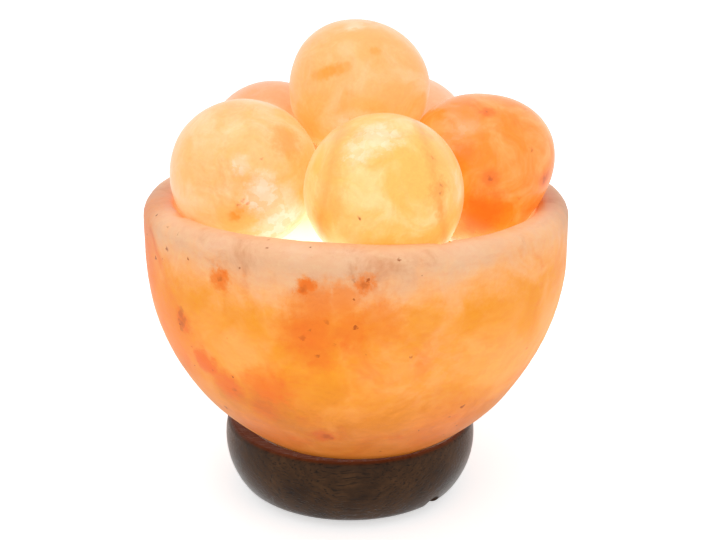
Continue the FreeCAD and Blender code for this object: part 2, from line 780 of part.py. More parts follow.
def glass_path(inset):
    """The bulb's outline from its neck to its crown, moved in by an inset."""
    neck, wide = size("glass_neck_radius") - inset, size("glass_radius") - inset
    neck_bottom_height = cap_top - size("glass_neck_depth")
    shoulder = size("glass_shoulder_height")
    side_start = cap_top + shoulder
    side_end = side_start + size("glass_side_height")
    half_way = cap_top + shoulder / 2
    middle = (neck + wide) / 2
    curve = upright_arc_radius((wide - neck) / 2, shoulder / 2)
    return [(neck, neck_bottom_height), (neck, cap_top), (middle, half_way, curve, -1),
            (wide, side_start, curve, 1), (wide, side_end), (0, side_end + wide, wide, 1)]


def backwards(path):
    """The same outline walked the other way, without its first arc."""
    steps = []
    for step, before in zip(reversed(path), list(reversed(path))[1:]):
        steps.append((before[0], before[1]) + ((step[2], -step[3]) if len(step) == 4 else ()))
    return steps


def make_glass():
    outer = glass_path(as_size(0))
    inner = glass_path(size("glass_wall"))
    crown = inner[-1]
    upright_piece("bulb_glass", outer + [(crown[0], crown[1])] + backwards(inner))


def stem_foot():
    return cap_top - size("glass_neck_depth")


def make_stem():
    """The glass that carries the wires: a flared foot sealed in the neck, drawn in to a pressed top."""
    foot, top = stem_foot(), stem_foot() + size("stem_height")
    flare = size("glass_neck_radius") - size("glass_wall")
    thick = size("glass_wall")
    upright_piece("glass_stem", [
        (flare, foot),
        (flare, foot + thick),
        (size("stem_radius"), foot + thick + (flare - size("stem_radius"))),
        (size("stem_top_radius"), top),
        (0, top),
        (0, foot),
    ])


def swept_wire(name, points, radius):
    """A round wire along straight runs, with mitred corners, whose points and radius come from the sheet."""
    wire = Part.makePolygon(points)
    start = points[1] - points[0]
    section = Part.Wire(Part.makeCircle(radius, points[0], start))
    tube = Part.Wire(wire.Edges).makePipeShell([section], True, False, 1)
    piece = doc.addObject("Part::Feature", name)
    piece.Shape = tube
    piece.Label = name
    return piece


def make_wires():
    """Two lead wires from the stem's top, spread to carry an arched filament between their ends."""
    stem_top = (stem_foot() + size("stem_height")).number
    radius = size("wire_radius").number
    spread, rise = size("wire_spread").number, size("wire_rise").number
    straight = size("wire_straight").number
    inset = size("stem_top_radius").number - 2 * radius
    end_height = stem_top + rise
    leads = []
    for side in (-1, 1):
        leads.append(swept_wire(f"lead_wire_{1 if side < 0 else 2}", [
            FreeCAD.Vector(side * inset, 0, stem_top),
            FreeCAD.Vector(side * inset, 0, stem_top + straight),
            FreeCAD.Vector(side * spread, 0, end_height - straight),
            FreeCAD.Vector(side * spread, 0, end_height),
        ], radius))
    group("lead_wires", leads)
    arch_height = end_height + size("filament_arch").number
    shoulder = end_height + straight / 2
    swept_wire("filament", [
        FreeCAD.Vector(-spread, 0, end_height),
        FreeCAD.Vector(-spread, 0, shoulder),
        FreeCAD.Vector(-spread / 2, 0, arch_height),
        FreeCAD.Vector(spread / 2, 0, arch_height),
        FreeCAD.Vector(spread, 0, shoulder),
        FreeCAD.Vector(spread, 0, end_height),
    ], size("filament_radius").number)


make_bowl()
make_base()
make_screws()
make_feet()
make_balls()
make_plate()
make_clip()
make_holder_body()
make_holder_cap()
make_contact_block()
make_screw_shell()
make_centre_contact()
make_terminals()
make_bulb_cap()
make_insulator()
make_tip()
make_glass()
make_stem()
make_wires()
doc.recompute()


# ---- checking and writing ----

NODES = (
    "salt_bowl", "wood_base", "base_screws",
    "rubber_foot_1", "rubber_foot_2", "rubber_foot_3", "rubber_foot_4",
    "ball_front", "ball_right", "ball_back_right", "ball_back_left", "ball_left", "ball_top",
    "holder_plate", "spring_clip", "holder_body", "holder_cap", "contact_block", "screw_shell",
    "centre_contact", "terminals", "terminal_screws",
    "bulb_cap", "cap_insulator", "tip_contact", "bulb_glass", "glass_stem", "lead_wires", "filament",
)

for item in doc.Objects:
    if "Invalid" in item.State or "Error" in item.State:
        raise RuntimeError(f"{item.Name} failed: {item.State}")

os.makedirs("parts", exist_ok=True)
for name in NODES:
    shape = doc.getObjectsByLabel(name)[0].Shape
    if shape.isNull() or not shape.isValid():
        raise RuntimeError(f"{name} has no valid shape")
    shape.exportStep(f"parts/{name}.step")
    print(f"{name}: {len(shape.Solids)} solid(s), {shape.Volume:.1f} mm3")
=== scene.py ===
# %% [markdown]
# # A salt bowl lamp
#
# The real lamp is a thick bowl carved from a block of orange rock salt. Six turned salt balls are heaped in its
# mouth, a small bulb under them lights the salt from inside, and the bowl sits in a round dark wooden base.
#
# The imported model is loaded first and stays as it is. It says where every piece belongs, so nothing below is
# fitted by eye: a piece takes its place and main sizes from the frame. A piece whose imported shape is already
# right keeps it and only gets a finish. The others are built again, with the unevenness of the real thing.

# %% Load the frame
import math

import bmesh
import bpy
import numpy as np
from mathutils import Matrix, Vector, noise


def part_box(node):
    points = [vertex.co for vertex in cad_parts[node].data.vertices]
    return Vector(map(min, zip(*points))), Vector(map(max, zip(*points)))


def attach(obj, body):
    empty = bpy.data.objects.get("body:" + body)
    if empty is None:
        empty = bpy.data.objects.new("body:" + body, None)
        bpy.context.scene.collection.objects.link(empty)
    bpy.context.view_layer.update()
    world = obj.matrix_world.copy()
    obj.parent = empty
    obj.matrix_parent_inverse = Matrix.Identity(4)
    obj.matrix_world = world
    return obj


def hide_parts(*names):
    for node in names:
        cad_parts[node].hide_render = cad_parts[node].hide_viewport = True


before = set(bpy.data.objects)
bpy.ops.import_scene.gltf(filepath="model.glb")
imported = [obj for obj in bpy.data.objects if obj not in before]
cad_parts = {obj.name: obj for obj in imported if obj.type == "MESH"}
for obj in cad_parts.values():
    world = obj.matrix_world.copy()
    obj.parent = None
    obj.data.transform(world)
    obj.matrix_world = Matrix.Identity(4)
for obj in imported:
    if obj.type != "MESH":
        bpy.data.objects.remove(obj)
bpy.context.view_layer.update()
MM = 0.001


# %% [markdown]
# ## Places that the pieces share
#
# A node's box gives its lowest and highest corner. For a turned piece that is its radius, its foot and its top,
# so what is built below follows the frame if it changes. Sizes are in millimetres, a carver's unit, and only
# the function that makes a mesh turns them into metres.

# %% Read the main sizes from the frame
def span(node):
    """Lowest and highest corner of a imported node, in millimetres."""
    low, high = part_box(node)
    return np.array(low) / MM, np.array(high) / MM


BULB_GLOW = 14.0    # mm from the bulb's top down to the middle of its glow

bowl_low, bowl_high = span("salt_bowl")
BOWL_RADIUS = (bowl_high[0] - bowl_low[0]) / 2
BOWL_FOOT, BOWL_RIM = bowl_low[2], bowl_high[2]
BULB_CENTRE = np.array([0.0, 0.0, span("bulb_glass")[1][2] - BULB_GLOW])
ball_places = {}
for name in ("front", "right", "back_right", "back_left", "left", "top"):
    ball_low, ball_high = span(f"ball_{name}")
    ball_places[name] = ((ball_low + ball_high) / 2, (ball_high[2] - ball_low[2]) / 2)
print(f"bowl: radius {BOWL_RADIUS:.1f}, from {BOWL_FOOT:.1f} to {BOWL_RIM:.1f}; bulb at {BULB_CENTRE}")


# %% [markdown]
# ## Camera, light and floor
#
# The camera stands in front, a little above, as the photograph's did: the ellipse of the bowl's mouth gives
# the angle down, and the width of bowl and base together gives the focal length. Lamps in Blender could copy
# a studio one by one. One large soft lamp overhead and an even white surround do the same work and stay at a
# plain level, where a colour comes out about as it was written.
#
# The floor shows white by itself, keeps the soft shadow of the lamp, and is clear from below.
#
# A finish is built from nodes. They could be drawn by hand in the shader editor. Here one function adds a node,
# with its settings and links, and returns its output, so that a finish reads as a list of steps.

# %% Colours and nodes
def linear(code):
    """The linear colour, with alpha, of an sRGB hex value."""
    shares = [int(code[place:place + 2], 16) / 255 for place in (1, 3, 5)]
    return (*[share / 12.92 if share <= 0.04045 else ((share + 0.055) / 1.055) ** 2.4 for share in shares], 1)


def set_inputs(node, inputs):
    """Give a node's inputs, by name or number, plain values or the outputs of other nodes."""
    for name, value in inputs.items():
        if isinstance(value, bpy.types.NodeSocket):
            node.id_data.links.new(value, node.inputs[name])
        else:
            node.inputs[name].default_value = value


def adder(owner):
    """The function that adds a node to this material or world, and returns one of the node's outputs."""
    def add(kind, inputs=None, out=0, **settings):
        node = owner.node_tree.nodes.new("ShaderNode" + kind)
        for name, value in settings.items():
            setattr(node, name, value)
        set_inputs(node, inputs or {})
        if not node.outputs:
            return None
        return node.outputs if out == "all" else node.outputs[out]
    return add


def new_material(name, values):
    """A material, its Principled surface with some values set, and the function that adds its nodes."""
    material = bpy.data.materials.new(name)
    material.use_nodes = True
    surface = material.node_tree.nodes["Principled BSDF"]
    set_inputs(surface, values)
    return material, surface, adder(material)


# %% Camera
CAMERA_PLACE = Vector((0.73, -500.0, 251.2)) * MM
CAMERA_DOWN = math.radians(18.46)
CAMERA_LENS = 72.4

camera_data = bpy.data.cameras.new("camera")
camera_data.lens = CAMERA_LENS
camera_data.clip_start = 0.01
camera = bpy.data.objects.new("camera", camera_data)
camera.location = CAMERA_PLACE
camera.rotation_euler = (math.pi / 2 - CAMERA_DOWN, 0, 0)
bpy.context.scene.collection.objects.link(camera)
bpy.context.scene.camera = camera
bpy.context.scene.view_settings.view_transform = "Standard"
print("camera at", [round(value, 3) for value in camera.location], "lens", CAMERA_LENS)

# %% Surround, lamp and floor
SURROUND_FRONT = Vector((0.1, -0.85, 0.45))    # the way to the brighter side of the surround
SURROUND_DARK, SURROUND_BRIGHT = 0.38, 1.0
LAMP_POWER = 1.3
LAMP_SIZE = 0.42
LAMP_PLACE = Vector((-0.16, -0.1, 0.92))
LAMP_AIM = Vector((0, 0, 0.08))
FLOOR_SIDE = 3.0
FLOOR_LIFT = 0.56    # light of its own, so that the floor shows white

world = bpy.data.worlds.new("white surround")
world.use_nodes = True
bpy.context.scene.world = world
add = adder(world)
rays = add("LightPath", out="all")
seen = add("Math", {0: rays["Is Camera Ray"], 1: rays["Is Glossy Ray"]}, operation="MAXIMUM")
seen = add("Math", {0: seen, 1: rays["Is Transmission Ray"]}, operation="MAXIMUM")
facing = add("VectorMath", {0: add("TexCoord", out="Generated"), 1: SURROUND_FRONT.normalized()}, out="Value",
             operation="DOT_PRODUCT")
soft = add("MapRange", {"Value": facing, "From Min": -1.0, "To Min": SURROUND_DARK, "To Max": SURROUND_BRIGHT})
level = add("MapRange", {"Value": seen, "To Min": soft, "To Max": 1.0})
set_inputs(world.node_tree.nodes["Background"], {"Strength": level, "Color": (1, 1, 1, 1)})

lamp_data = bpy.data.lights.new("soft_lamp", "AREA")
lamp_data.shape = "DISK"
lamp_data.size = LAMP_SIZE
lamp_data.energy = LAMP_POWER
soft_lamp = bpy.data.objects.new("soft_lamp", lamp_data)
soft_lamp.location = LAMP_PLACE
soft_lamp.rotation_euler = (LAMP_AIM - LAMP_PLACE).to_track_quat("-Z", "Y").to_euler()
bpy.context.scene.collection.objects.link(soft_lamp)

floor_paint = bpy.data.materials.new("white floor")
floor_paint.use_nodes = True
floor_paint.node_tree.nodes.clear()
add = adder(floor_paint)
paint = add("BsdfDiffuse", {"Color": linear("#f2f2f2")})
lit = add("AddShader", {0: paint, 1: add("Emission", {"Color": (1, 1, 1, 1), "Strength": FLOOR_LIFT})})
clear = add("BsdfTransparent")
half = add("MixShader", {0: 0.5, 1: paint, 2: clear})
shown = add("MixShader", {0: add("LightPath", out="Is Camera Ray"), 1: half, 2: lit})
whole = add("MixShader", {0: add("NewGeometry", out="Backfacing"), 1: shown, 2: clear})
add("OutputMaterial", {"Surface": whole})

bpy.ops.mesh.primitive_plane_add(size=FLOOR_SIDE)
floor = bpy.context.object
floor.name = "floor"
floor.data.materials.append(floor_paint)
print("one lamp, one surround, floor", FLOOR_SIDE, "m")


# %% [markdown]
# ## Outlines and turned pieces
#
# Bowl, base and bulb are all round, so each is an outline carried round an upright axis, the way a lathe makes
# them. Blender's Screw modifier could do it. Working the points out here leaves them as numbers, so that the
# bowl can be roughened point by point before it becomes a mesh.

# %% Mesh helpers
def outline(path, spacing):
    """Points along a path of (radius, height), about one spacing apart. A step with two more entries is an
    arc of that radius, which turns left on its way when the last one is 1, and right when it is -1."""
    points = [np.array(path[0][:2], float)]
    for step in path[1:]:
        start, end = points[-1], np.array(step[:2], float)
        chord = end - start
        half_chord = np.hypot(*chord) / 2
        shares = np.arange(1, max(1, round(2 * half_chord / spacing)) + 1) / max(1, round(2 * half_chord / spacing))
        if len(step) == 2:
            points.extend(start + chord * share for share in shares)
            continue
        curve, side = step[2:]
        to_left = np.array([-chord[1], chord[0]]) / (2 * half_chord)
        centre = (start + end) / 2 + to_left * side * math.sqrt(max(curve ** 2 - half_chord ** 2, 0))
        first = math.atan2(start[1] - centre[1], start[0] - centre[0])
        sweep = 2 * math.asin(min(half_chord / curve, 1)) * side
        points.extend(centre + curve * np.array([math.cos(first + sweep * share), math.sin(first + sweep * share)])
                      for share in shares)
    return np.array(points)


def carried_round(radii, heights, sides):
    """A grid of points: one row for each point of an outline, one column for each step round the axis."""
    turns = np.arange(sides) * 2 * math.pi / sides
    grid = [np.outer(radii, np.cos(turns)), np.outer(radii, np.sin(turns)), np.outer(heights, np.ones(sides))]
    return np.stack(grid, axis=2)


def new_piece(name, points, faces, material, crease=40):
    """A mesh object from points in millimetres, smooth but for edges sharper than the crease angle."""
    mesh = bpy.data.meshes.new(name)
    mesh.from_pydata((np.asarray(points) * MM).tolist(), [], faces)
    mesh.shade_smooth()
    mesh.set_sharp_from_angle(angle=math.radians(crease))
    mesh.materials.append(material)
    piece = bpy.data.objects.new(name, mesh)
    bpy.context.scene.collection.objects.link(piece)
    return piece


def grid_faces(rows, columns, closed):
    """Quads over a grid that goes all the way round; closed also joins its last row to its first."""
    faces = []
    for row in range(rows if closed else rows - 1):
        above = (row + 1) % rows
        for column in range(columns):
            beside = (column + 1) % columns
            faces.append((row * columns + column, row * columns + beside,
                          above * columns + beside, above * columns + column))
    return faces


def unevenness(points, grain, seed):
    """Smooth noise between about -1 and 1 at each point, with bumps about one grain apart."""
    shift = Vector((seed * 31.7, seed * 11.3, seed * 5.1))
    return np.array([noise.noise(Vector(point) / grain + shift) for point in points])


# %% [markdown]
# ## Rock salt
#
# Rock salt is halite, clear in itself. Iron between its crystals colours it from peach to rust, cracks and
# trapped brine make it cloudy, and grains of clay leave brown specks. Turning and polishing leave a satin skin.
# With a bulb inside, most of what the eye sees is light that has come through the stone: bright near the bulb
# and where the salt is clear, duller and redder where iron is.
#
# Cycles could send real light through a volume, which takes thousands of samples to lose its noise. Subsurface
# scattering is quicker and still loses the bulb's glow behind 18 mm of salt. So the light that comes through
# is painted as emission, with the patterns that the stone really has, and it fades with the square of the
# distance from the bulb as real light does. The patterns live in the object's own space, so each ball keeps
# its veins when it is lifted out.

# %% What the stone holds
SALT_IOR = 1.54
BEND = 11.0         # mm by which the crystals wander from straight bands
BEND_WIDTH = 22.0   # mm over which they do so
IRON = 21.0         # mm across an iron stain
CRYSTAL = 9.0       # mm across one crystal
# FACET cells break the spots of painted light into flashing crystal faces
FACET = 2.6         # mm across a crystal's face that flashes inside the stone
GRAIN = 1.5         # mm across the polished grain
LEVEL_REACH = 60.0  # mm from the bulb at which a stone's light has its level
RIM_LIGHT = 0.2     # share of the light that comes through the thick rim
FOOT_LOSS = -0.6    # what the thick foot takes away
FOOT_IRON = 0.45    # how much redder the light is there
INSIDE_LIGHT = 1.2  # what the hollow's wall gets more than the outside
CLOUD_RISE = 34.0   # mm: clouds carry the pale rim down into the bowl
SPECK = 4.5         # mm between clay specks
FRAY = 6.0          # mm by which a large stain's edge wanders
FRAY_WIDTH = 5.0
CHIP = 1.4          # mm by which a small mark's edge wanders
CHIP_WIDTH = 1.6
MUD = 15.0          # mm across a zone that holds clay
SMALL = 5.0         # mm: a spot smaller than this counts as small
CLAY_AND_PAINTED_SHADE = "#9a4408"
CLAY_COVER = 0.85   # how far a speck of clay hides the salt
# HOT_SHADE is the colour that painted light whitens to, near the bulb and in painted highlights
HOT_SHADE = "#fff6e4"
HOT_REACH = (50, 84)   # mm from the bulb: white hot within the first, gone beyond the second
STONE_SHIFT = (0.37, 0.21, 0.13)   # metres between the places in the noise that two stones are cut from


def per_mm(size):
    """Scale of a pattern whose features are this many millimetres wide."""
    return 1 / (size * MM)


def nearness(add, places, spots):
    """The strongest of some soft round spots, each ((x, y, z), radius, strength) in millimetres. Small spots
    are measured in the first of two places, large ones in the second, which wanders more."""
    strongest = 0.0
    for centre, radius, strength in spots:
        away = add("VectorMath", {0: places[radius > SMALL], 1: np.array(centre) * MM}, operation="DISTANCE",
                   out="Value")
        near = add("MapRange", {"Value": away, "From Min": radius * MM, "From Max": radius * MM / 4,
                                "To Max": strength}, interpolation_type="SMOOTHSTEP")
        strongest = add("Math", {0: strongest, 1: near}, operation="MAXIMUM")
    return strongest


def stone_space(add, seed):
    """Four ways to say where a point lies in the stone: plain, moved to this stone's own place in the noise,
    bent along its crystals so that nothing runs straight, and with wandering edges for small and large spots."""
    own = add("TexCoord", out="Object")
    place = add("VectorMath", {0: own, 1: seed * np.array(STONE_SHIFT)})
    moved = []
    for start, width, detail, roughness, reach in ((place, BEND_WIDTH, 2, 0.5, BEND), (own, CHIP_WIDTH, 3, 0.5, CHIP),
                                                   (own, FRAY_WIDTH, 5, 0.75, FRAY)):
        way = add("TexNoise", {"Vector": place, "Scale": per_mm(width), "Detail": detail, "Roughness": roughness},
                  out="Color")
        way = add("VectorMath", {0: way, 1: (0.5,) * 3}, operation="SUBTRACT")
        moved.append(add("VectorMath", {0: way, 1: (2 * reach * MM,) * 3, 2: start}, operation="MULTIPLY_ADD"))
    flow, chipped, frayed = moved
    return own, place, flow, (chipped, frayed)


def add_seams(add, stained, places, clouds, seams):
    """Iron along flat veins, broken up by the clouds."""
    for point, way, reach, strength in seams:
        off = add("VectorMath", {0: places[0], 1: np.array(point) * MM}, operation="SUBTRACT")
        off = add("VectorMath", {0: off, 1: way}, operation="DOT_PRODUCT", out="Value")
        off = add("Math", {0: off}, operation="ABSOLUTE")
        seam = add("MapRange", {"Value": off, "From Min": reach * MM, "From Max": 0.0, "To Max": strength})
        seam = add("Math", {0: seam, 1: clouds}, operation="MULTIPLY")
        stained = add("Math", {0: stained, 1: seam}, operation="MAXIMUM")
    return stained


def clay_specks_and_shade_marks(add, place, places, stained, marks, clay):
    """Brown grains of many sizes, which gather in muddy zones and in the stains, and the single marks, a few of
    which are large soft painted shade.
    """
    specks = add("TexVoronoi", {"Vector": places[0], "Scale": per_mm(SPECK)}, out="all")
    width = add("SeparateXYZ", {0: specks["Color"]})
    width = add("Math", {0: width, 1: 3.0}, operation="POWER")
    width = add("MapRange", {"Value": width, "To Min": 0.02, "To Max": 0.24})
    dots = add("Math", {0: width, 1: specks["Distance"]}, operation="SUBTRACT")
    dots = add("MapRange", {"Value": dots, "From Max": 0.07})
    muddy = add("TexNoise", {"Vector": place, "Scale": per_mm(MUD), "Detail": 1})
    muddy = add("Math", {0: stained, 1: 0.3, 2: muddy}, operation="MULTIPLY_ADD")
    muddy = add("MapRange", {"Value": muddy, "From Min": 0.75 - 0.35 * clay, "From Max": 0.8 - 0.35 * clay})
    dots = add("Math", {0: dots, 1: muddy}, operation="MULTIPLY")
    dots = add("Math", {0: dots, 1: nearness(add, places, marks)}, operation="MAXIMUM")
    return add("Math", {0: dots, 1: CLAY_COVER}, operation="MULTIPLY")


# %% The salt's material
def make_salt(name, skin, light, level, fall, seed, stains=(), marks=(), painted_light_spots=(), seams=(), clay=0.5,
              polish=0.6, sheen=0.3, cloud=17, milk=0.6, texture=0.1, drawn=(1, 1, 1), walls=None):
    """Satin rock salt, lit from inside. skin and light are (pale, body, iron) hex colours: what the studio
    lamp shows of the surface, and what comes through from the bulb, painted as emission. level is the strength
    of that light LEVEL_REACH from the bulb, and fall the power of the distance with which it fades. clay is the
    share of the stone that holds specks, cloud the width of its clouds in mm, milk how far they go to the pale
    colour, texture the strength of its grain, and drawn the way that the grain is drawn out. stains and marks are
    soft spots of iron and clay, though a few large soft marks are painted shade. The third kind of spot is
    painted light: a brighter, whiter glow and painted highlights. seams are flat veins, each (point, direction,
    half width, strength). walls gives four heights: the light is full between the middle two, and the stone is
    thicker beyond them. Then a mesh attribute called inside marks the wall of a hollow."""
    material, surface, add = new_material(name, {
        "IOR": SALT_IOR, "Specular IOR Level": 0.2, "Coat Weight": polish, "Coat Roughness": 0.22,
        "Sheen Weight": sheen, "Sheen Roughness": 0.4, "Emission Strength": 1.0})
    own, place, flow, places = stone_space(add, seed)

    # cloudy zones, iron stains and clay
    clouds = add("TexNoise", {"Vector": flow, "Scale": per_mm(cloud), "Detail": 5, "Roughness": 0.6,
                              "Distortion": 0.5})
    iron = add("TexNoise", {"Vector": flow, "Scale": per_mm(IRON), "Detail": 7, "Roughness": 0.66,
                            "Distortion": 0.4})
    iron = add("MapRange", {"Value": iron, "From Min": 0.5, "From Max": 0.8, "To Max": 0.6},
               interpolation_type="SMOOTHSTEP")
    stained = add_seams(add, nearness(add, places, stains), places, clouds, seams)
    iron = add("Math", {0: iron, 1: stained}, operation="ADD", use_clamp=True)
    unstained = add("Math", {0: 1.0, 1: stained}, operation="SUBTRACT", use_clamp=True)
    pale = add("MapRange", {"Value": clouds, "From Min": 0.4, "From Max": 0.72, "To Max": milk},
               interpolation_type="SMOOTHSTEP")
    pale = add("Math", {0: pale, 1: unstained}, operation="MULTIPLY")
    dots = clay_specks_and_shade_marks(add, place, places, stained, marks, clay)

    # single crystals, and the fine grain that polishing leaves
    crystals = add("TexVoronoi", {"Vector": flow, "Scale": per_mm(CRYSTAL)}, out="Color")
    along = add("VectorMath", {0: places[0], 1: drawn}, operation="MULTIPLY")
    grain = add("TexNoise", {"Vector": along, "Scale": per_mm(GRAIN), "Detail": 6, "Roughness": 0.7})
    grain = add("MapRange", {"Value": grain, "From Min": 0.25, "From Max": 0.75})
    speckle = add("HueSaturation", {"Saturation": 0.0, "Color": crystals})
    speckle = add("Mix", {0: 0.75, 6: speckle, 7: grain}, data_type="RGBA", out=2)

    # light from the bulb, painted as emission: it fades with distance, and the spots of painted light, broken into
    # crystal faces, add a whiter glow and painted highlights
    away = add("VectorMath", {0: own, 1: BULB_CENTRE * MM}, operation="DISTANCE", out="Value")
    strength = add("Math", {0: LEVEL_REACH * MM, 1: away}, operation="DIVIDE")
    strength = add("Math", {0: strength, 1: fall}, operation="POWER")
    strength = add("Math", {0: strength, 1: level}, operation="MULTIPLY")
    facets = add("TexVoronoi", {"Vector": places[0], "Scale": per_mm(FACET)}, out="Color")
    facets = add("MapRange", {"Value": add("SeparateXYZ", {0: facets}), "To Min": 0.45, "To Max": 1.25})
    painted_spot_light = add("Math", {0: nearness(add, places, painted_light_spots), 1: facets}, operation="MULTIPLY", use_clamp=True)
    hot = painted_spot_light

    # a hollow stone is dim where its wall is thick, redder at its foot, and white hot inside near the bulb
    if walls:
        height = add("SeparateXYZ", {0: places[1]}, out="Z")
        height = add("Math", {0: clouds, 1: CLOUD_RISE * MM, 2: height}, operation="MULTIPLY_ADD")
        rim = add("MapRange", {"Value": height, "From Min": walls[2] * MM, "From Max": walls[3] * MM},
                  interpolation_type="SMOOTHSTEP")
        foot = add("MapRange", {"Value": height, "From Min": walls[1] * MM, "From Max": walls[0] * MM},
                   interpolation_type="SMOOTHSTEP")
        bare = add("Math", {0: rim, 1: unstained}, operation="MULTIPLY")
        pale = add("Math", {0: pale, 1: bare}, operation="MAXIMUM")
        iron = add("Math", {0: foot, 1: FOOT_IRON, 2: iron}, operation="MULTIPLY_ADD")
        iron = add("Math", {0: iron, 1: 1.0}, operation="MINIMUM")
        inside = add("Attribute", attribute_name="inside", out="Fac")
        thick = add("Math", {0: bare, 1: 2.0}, operation="POWER")
        fade = add("MapRange", {"Value": thick, "To Min": 1.0, "To Max": RIM_LIGHT})
        fade = add("Math", {0: foot, 1: FOOT_LOSS, 2: fade}, operation="MULTIPLY_ADD")
        fade = add("Math", {0: inside, 1: INSIDE_LIGHT, 2: fade}, operation="MULTIPLY_ADD")
        strength = add("Math", {0: strength, 1: fade}, operation="MULTIPLY")
        hot = add("MapRange", {"Value": away, "From Min": HOT_REACH[1] * MM, "From Max": HOT_REACH[0] * MM})
        hot = add("Math", {0: hot, 1: inside}, operation="MULTIPLY")
        hot = add("Math", {0: hot, 1: unstained, 2: painted_spot_light}, operation="MULTIPLY_ADD", use_clamp=True)

    shades = []
    for pale_shade, body_shade, iron_shade in (skin, light):
        shade = add("Mix", {0: pale, 6: linear(body_shade), 7: linear(pale_shade)}, data_type="RGBA", out=2)
        shade = add("Mix", {0: iron, 6: shade, 7: linear(iron_shade)}, data_type="RGBA", out=2)
        shade = add("Mix", {0: texture, 6: shade, 7: speckle}, data_type="RGBA", blend_type="OVERLAY", out=2)
        # dots are clay specks and the few large soft marks that are painted shade; both turn the colour brown
        shade = add("Mix", {0: dots, 6: shade, 7: linear(CLAY_AND_PAINTED_SHADE)}, data_type="RGBA", out=2)
        shades.append(shade)
    glow = add("Mix", {0: hot, 6: shades[1], 7: linear(HOT_SHADE)}, data_type="RGBA", out=2)
    glow = add("VectorMath", {0: glow, "Scale": strength}, operation="SCALE")
    relief = add("Bump", {"Height": grain, "Distance": 0.05 * MM, "Strength": 0.6})
    shine = add("MapRange", {"Value": grain, "To Min": 0.32, "To Max": 0.5})
    set_inputs(surface, {"Base Color": shades[0], "Emission Color": glow, "Roughness": shine, "Normal": relief})
    return material


# %% [markdown]
# ## The bowl
#
# The block is turned on a lathe, then ground by hand. The outside keeps faint level grooves and gentle hollows,
# the rim stands up to 2 mm higher in front, and its edge has lost small chips. Sculpting in Blender would give
# that too, but can't be written down. So the outline is carried round the axis, and each point is then moved
# along its own normal by a few layers of noise, each as deep and as wide as the tool that left it.

# %% Carve the bowl
RIM_WALL = 11.4
RIM_OUTER_ROUND = 6.0
RIM_INNER_ROUND = 4.0
WALL_START = BOWL_FOOT + 73.7
HOLLOW_START = BOWL_FOOT + 78.0
HOLLOW_FLOOR = BOWL_FOOT + 18.0
HOLLOW_FLOOR_RADIUS = 28.6
FOOT_RADIUS = 30.6
HOLE_RADIUS = 19.0
RIM_RISES = ((-102, 2.0, 36), (175, 0.7, 60), (0, -0.5, 50))  # azimuth, rise in mm, half width in degrees
BALL_CLEAR = 0.12   # mm between a ball and the hollow that it has rubbed into the rim
BOWL_STEP = 1.25
BROAD_HOLLOW, BROAD_DEPTH = 44, 0.55     # mm across and deep: what grinding by hand leaves
SMALL_HOLLOW, SMALL_DEPTH = 17, 0.2
GROOVE, GROOVE_DEPTH = 2.6, 0.08         # mm between the lathe's grooves
ROUND_GROOVE = (0.12, 0.12, 1.0)         # grooves run round, so they change slowly but for upwards
PIT, PIT_SHARE, PIT_DEPTH = 6, 0.35, 0.5
CHIPS = (           # azimuth in degrees, radius and height in mm, then the chip's own radius and depth
    (-66, 64.8, 112.6, 5.0, 1.3),
    (-150, 66.0, 112.8, 4.0, 0.8),
    (20, 75.0, 111.5, 5.0, 0.9),
    (95, 75.2, 111.0, 7.0, 1.2),
    (-118, 65.2, 112.8, 3.0, 0.6),
    (160, 66.0, 113.0, 4.0, 0.9),
)


def arc_radius(run, rise):
    """Radius of an arc that ends upright after a run sideways and a rise."""
    return (run ** 2 + rise ** 2) / (2 * run)


def smooth_step(values, low, high):
    """0 up to low, 1 from high on, and a smooth rise between them."""
    share = np.clip((values - low) / (high - low), 0, 1)
    return share * share * (3 - 2 * share)


